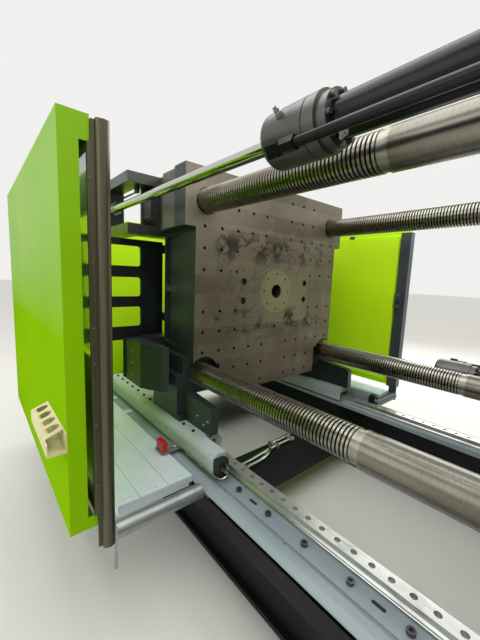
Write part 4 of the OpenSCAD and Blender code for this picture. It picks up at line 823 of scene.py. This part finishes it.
def deck_inserts():
    """Dark slotted inserts along the deck, caps in the rail's screw holes, deck rivets."""
    rail_top, lip_top = 575, 520.5
    d = Draft(black_enamel)
    for side in SIDES:
        d.take(black_enamel)
        for x in (70, 718, 1366, 1798):
            d.prism((x, side * 850, BED_TOP - 0.5), "+z", box_outline(52, 15, 7), 1.6, 0.6)
        d.take(strip_steel)
        for x in (1220, 1295, 1370, 1445):
            d.lathe((x, side * RAIL_Y, rail_top), "+z",
                    [(0, 0), (0, 12.6), (5, 12.6), (5.6, 11.6), (4.6, 10.4), (4.6, 0)], 20)
        d.take(chrome)
        for x in (560, 980, 1400, 1820):
            d.lathe((x, side * 908, lip_top), "+z", [(0, 0), (0, 5), (1.4, 4.4), (1.6, 0)], 12)
    d.place("deck_inserts", "machine", "dark_steel")


def door_fittings():
    """End caps and screws of the front door's grip, and the screws of its rack."""
    low, high = span("front_door_frame")
    d = Draft(black_enamel)
    for z, way in ((high.z, "+z"), (low.z, "-z")):
        d.prism((DOOR_EDGE - 2, -1518.5, z), way, box_outline(54, 46, 9), 3, 1)
    d.take(strip_steel)
    for z in (1950, 1676, 1453, 1325, 1096, 860):
        socket_screw(d, (DOOR_EDGE + 8, -1557, z), "+x", 6)
    d.place("grip_caps_and_screws", "front_door", "machinery_black")


def rear_door_latch():
    """Screws and a spring button on the rear door's latch."""
    x, latch_face = 373, 1362
    d = Draft(zinc)
    for z in (1422, 1538):
        socket_screw(d, (x, latch_face, z), "-y", 10)
    d.take(black_enamel)
    d.lathe((x, latch_face, 1480), "-y", [(0, 0), (0, 16), (6, 16), (20, 11), (22, 0)], 20)
    d.place("rear_door_latch_parts", "rear_door", "machinery_black")


def pump_parts():
    """Motor fins, filler cap, gauge and outlet pipes of the grease pump behind the platen."""
    d = Draft(black_enamel)
    y, motor_z = -540, 650
    fins = [(0, 0), (0, 58)]
    for k in range(10):
        fins += [(4 + 15 * k, 61), (7 + 15 * k, 68), (13 + 15 * k, 68), (16 + 15 * k, 61)]
    d.lathe((-1502, y, motor_z), "+x", fins + [(160, 58), (160, 0)], 32)
    d.lathe((-1511, y, motor_z), "-x", [(0, 0), (0, 60), (4, 60), (12, 52), (13, 0)], 32)
    d.take(pale_plastic)
    d.lathe((-1446, y, 759), "+z", [(0, 0), (0, 22), (14, 22), (16, 18), (24, 17), (24, 0)], 12)
    d.take(zinc)
    d.lathe((-1361, y + 20, 735), "+x", [(0, 0), (0, 8), (12, 8), (12, 24), (26, 24), (27, 21),
                                         (23, 20), (23, 0)], 26)
    d.take(chrome)
    for k in range(3):
        pipe_y, x, z = y - 12 + 12 * k, -1232 + 16 * k, 640 - 18 * k
        d.tube([(-1290, pipe_y, z), (-1262, pipe_y, z), (x - 4, pipe_y, 622 - 14 * k),
                (x, pipe_y, 590), (x, pipe_y, 566)], 4.5, 10, 5)
    d.place("grease_pump_parts", "machine", "machinery_black")


def bar_nut_screws():
    """Ring of screws on each tie bar nut and the centre drill in each bar's end."""
    screws, ring = 10, 108
    _, nuts = span("tie_bar_nuts")
    _, bars = span("tie_bars")
    d = Draft(steel_dark)
    for side in SIDES:
        for level in LEVELS:
            y, z = side * BAR_Y, CENTRE_H + level * BAR_Z
            d.take(steel_dark)
            for k in range(screws):
                a = math.tau * (k + 0.5) / screws
                socket_screw(d, (nuts.x, y + ring * math.cos(a), z + ring * math.sin(a)), "+x", 12)
            d.take(bare_steel)
            d.lathe((bars.x - 1, y, z), "+x", [(0, 0), (0, 26), (3, 26), (3.5, 22), (1.5, 21),
                                               (1.5, 9), (-0.5, 3), (-0.5, 0)], 28)
    d.place("tie_bar_nut_screws", "machine", "dark_steel")


def lifting_eyes():
    """Forged lifting eyes on the fixed platen, over the upper tie bars."""
    x, top = 2250, 2264
    ring, bar, lift = 30, 9, 50
    d = Draft(bare_steel)
    for side in SIDES:
        y = side * BAR_Y
        d.lathe((x, y, top - 1), "+z",
                [(0, 0), (0, 34), (10, 34), (16, 20), (24, 17), (24, 0)], 24)
        rows = []
        for a in (math.tau * k / 24 - math.pi / 2 for k in range(25)):
            reaches = [(ring + bar * math.cos(b), bar * math.sin(b))
                       for b in (math.tau * j / 12 for j in range(12))]
            rows.append([at(x + reach * math.cos(a), y + off, top + lift + reach * math.sin(a))
                         for reach, off in reaches])
        d.rings(rows)
    # The last row of each ring lies on its first
    bmesh.ops.remove_doubles(d.bm, verts=d.bm.verts, dist=1e-5)
    d.place("lifting_eyes", "machine", "ground_steel")


def cover_trim():
    """Pressed panels, handles and screws of the fixed guard on the operator's side."""
    x0, x1, y = 2040, 3000, -1560
    d = Draft(lime)
    for z, height in ((520, 800), (1540, 1040)):
        panel(d, ((x0 + x1) / 2, y + 1, z), (x1 - x0 - 110, height), 5, -1, 26)
    d.take(black_enamel)
    x = x1 - 110
    for z in (760, 1700):
        grip(d, [(x, y - 3, z), (x, y - 26, z + 4), (x, y - 32, z + 24), (x, y - 32, z + 96),
                 (x, y - 26, z + 116), (x, y - 3, z + 120)], 7)
    d.take(zinc)
    for x in (x0 + 24, x1 - 24):
        for z in (60, 520, 970, 1500, 2100):
            hex_screw(d, (x, y, z), "-y", 8)
    d.place("platen_cover_trim", "machine", "guard_green")


def end_guard_trim():
    """Stiffening panels and screws on the inner side of the end guard."""
    panels = 3
    skin = -1640
    low, high = span("end_guard")
    width = (high.y - low.y) / panels
    d = Draft(lime_brightened_for_shade)
    for k in range(panels):
        y = low.y + width * (k + 0.5)
        d.take(lime_brightened_for_shade)
        d.prism((skin - 1, y, 1500), "+x", box_outline(width - 110, 1100, 30), 5, 1.5)
        d.take(zinc)
        for z in (900, 2130):
            for dy in (-width / 2 + 40, width / 2 - 40):
                hex_screw(d, (skin, y + dy, z), "+x", 8)
    d.place("end_guard_trim", "machine", "guard_green")


def panel_face():
    """Operator panel: frame, screen, keys and turning switches."""
    x, y, top, width = 2440, -1647.5, 1890, 420
    screen_z = top - 165
    d = Draft(black_enamel)
    panel(d, (x, y, screen_z), (width - 80, 250), 6, -1, 14)
    d.take(glass_dark)
    panel(d, (x, y - 5, screen_z), (width - 112, 220), 2.5, -1, 6)
    for row in range(4):
        for k in range(6):
            # Every seventh key is green
            d.take((pale_plastic, light_grey)[row % 2] if (row + k) % 7 else green_plastic)
            d.prism((x - 150 + 60 * k, y, top - 335 - 38 * row), "-y", box_outline(44, 24, 6), 6, 2)
    for k, material in enumerate((green_plastic, pale_plastic, black_enamel)):
        d.take(material)
        d.lathe((x - 40 + 75 * k, y - 1, top - 508), "-y",
                [(0, 0), (0, 17), (5, 17), (6, 13), (18, 12), (19, 0)], 24)
    d.place("panel_face", "panel", "grey_coat")


def heater_wiring():
    """Cable bridges between the bands' terminal boxes, and a clamp screw under each band."""
    low, high = span("heater_bands")
    gap = 24
    pitch = (high.x - low.x + gap) / BANDS
    d = Draft(zinc)
    for k in range(BANDS):
        x = low.x + pitch * k
        d.take(zinc)
        d.lathe((x + 68, -44, CENTRE_H - 150), "+y",
                [(0, 0), (0, 8), (7, 8), (7, 5), (80, 5), (80, 8), (88, 8), (88, 0)], 6)
        if k < BANDS - 1:
            d.take(orange_jacket)
            for y in (-14, 14):
                d.tube([(x + dx, y, CENTRE_H + dz) for dx, dz in
                        ((112, 164), (132, 168), (149, 172), (166, 168), (186, 164))], 5, 10, 4)
    d.place("heater_wiring", "injection", "zinc_plate")


def hopper_fittings():
    """Screws under the hopper's rim, but not by the lid's hinge, and a handle on the lid."""
    screws, ring, rim = 14, 320, 2390
    d = Draft(zinc)
    for k in range(screws):
        a = math.tau * (k + 0.5) / screws
        if math.sin(a) < 0.9:
            hex_screw(d, (HOPPER_X + ring * math.cos(a), ring * math.sin(a), rim), "-z", 7)
    d.place("hopper_rim_screws", "injection", "ground_steel")
    d = Draft(black_enamel)
    grip(d, [(HOPPER_X + dx, -180, z) for dx, z in ((-70, 2435), (-68, 2450), (-50, 2457),
                                                    (50, 2457), (68, 2450), (70, 2435))], 6)
    d.place("hopper_lid_handle", "lid", "machinery_black")


def base_fittings():
    """Screws round the service bays and a pressed edge over each."""
    wall = 620
    for side, end in zip(SIDES, ("front", "rear")):
        d = Draft(light_grey)
        for x in SERVICE_BAYS:
            d.take(light_grey)
            panel(d, (x, side * (wall - 0.5), 889), (640, 56), 4, side, 8)
            d.take(zinc)
            for dx in (-385, 385):
                for z in (300, 560, 820):
                    hex_screw(d, (x + dx, side * wall, z), facing(side), 9)
        d.place("base_fittings_" + end, "machine", "grey_coat")


def cabinet_fittings():
    """Lock, pressed field and louvres of the cabinet's doors."""
    skin = CABINET_SKIN + 0.5
    for name, body, lock_side in (("cabinet_door_left", "cabinet_left", 1),
                                  ("cabinet_door_right", "cabinet_right", -1)):
        low, high = span(name)
        field_x = (low.x + high.x) / 2 - lock_side * 20
        lock_x = high.x - 46 if lock_side > 0 else low.x + 46
        d = Draft(light_grey)
        panel(d, (field_x, skin, 1130), (430, 900), 3, -1, 20)
        for k in range(9):
            d.prism((field_x, skin, 260 + 34 * k), "-y", box_outline(300, 16, 7), 7, 3)
        d.take(zinc)
        d.lathe((lock_x, CABINET_SKIN + 1, 1290), "-y", [(0, 0), (0, 15), (5, 15), (7, 12), (9, 12),
                                                         (9, 4), (6, 4), (6, 0)], 24)
        d.place(name + "_fittings", body, "grey_coat")


for draw in (keeper_screws, rod_gauge, shoe_screws, shoe_lubrication, foot_fittings, cover_hinge,
             ram_fittings, bed_pipes, deck_inserts, door_fittings, rear_door_latch, pump_parts,
             bar_nut_screws, lifting_eyes, cover_trim, end_guard_trim, panel_face, heater_wiring,
             hopper_fittings, base_fittings, cabinet_fittings):
    draw()


# Camera, light and floor

def photographer(scene):
    """The photograph's view, solved from the platen's hole grid, the bars and the doors."""
    camera = bpy.data.objects.new("camera", bpy.data.cameras.new("camera"))
    scene.collection.objects.link(camera)
    scene.camera = camera
    camera.data.sensor_width = 36
    camera.data.lens = 17.737
    camera.data.clip_end = 200
    turn, rise, roll = (math.radians(a) for a in (49.536, 7.591, 2.277))
    back = Vector((math.sin(turn) * math.cos(rise), -math.cos(turn) * math.cos(rise),
                   math.sin(rise)))
    right = (-back).cross(Vector((0, 0, 1))).normalized()
    up = right.cross(-back)
    rolled = Matrix((right * math.cos(roll) + up * math.sin(roll),
                     up * math.cos(roll) - right * math.sin(roll), back))
    camera.matrix_world = (Matrix.Translation((-0.68684, -1.75225, 1.64565))
                           @ rolled.transposed().to_4x4())


def studio(scene):
    """Soft light from above and both sides, a pale surround and a pale floor."""
    scene.view_settings.view_transform = "Standard"
    aim = Vector((-0.8, 0.0, 1.0))
    for name, place, size, watts in (("overhead", (-0.6, -0.6, 6.4), (9, 5), 300),
                                     ("front", (-1.5, -7.5, 4.0), (7, 4), 110),
                                     ("back", (-3.0, 6.5, 4.5), (7, 4), 230)):
        lamp = bpy.data.lights.new(name, "AREA")
        lamp.shape = "RECTANGLE"
        lamp.size, lamp.size_y = size
        lamp.energy = watts
        lit = bpy.data.objects.new(name, lamp)
        scene.collection.objects.link(lit)
        lit.location = place
        lit.rotation_euler = (aim - Vector(place)).to_track_quat("-Z", "Y").to_euler()

    # Seen directly, in metal or through glass, the surround is a touch darker than its light
    world = bpy.data.worlds.new("studio")
    scene.world = world
    world.use_nodes = True
    tree = world.node_tree
    tree.nodes.clear()
    ray = add(tree, "LightPath", give=None).outputs
    seen = add(tree, "Math", {0: ray["Is Camera Ray"], 1: ray["Is Glossy Ray"]},
               operation="MAXIMUM")
    seen = add(tree, "Math", {0: seen, 1: ray["Is Transmission Ray"]}, operation="MAXIMUM")
    power = add(tree, "MapRange", {"Value": seen, "To Min": 1.0, "To Max": 0.95})
    sky = add(tree, "Background", {"Color": "#f6f6f4", "Strength": power})
    add(tree, "OutputWorld", {"Surface": sky}, give=None)

    reach = 60
    mesh = bpy.data.meshes.new("studio_floor")
    mesh.from_pydata([(-reach, -reach, 0), (reach, -reach, 0), (reach, reach, 0),
                      (-reach, reach, 0)], [], [(0, 1, 2, 3)])
    floor = bpy.data.objects.new("studio_floor", mesh)
    scene.collection.objects.link(floor)
    f = Finish("pale_floor", "#dcdad4", 0.6)
    f.layer(f.cloud(1600, 0.35, 0.75), "#d6d4cd", 0.65, 0.6)
    mesh.materials.append(f.done())


photographer(bpy.context.scene)
studio(bpy.context.scene)
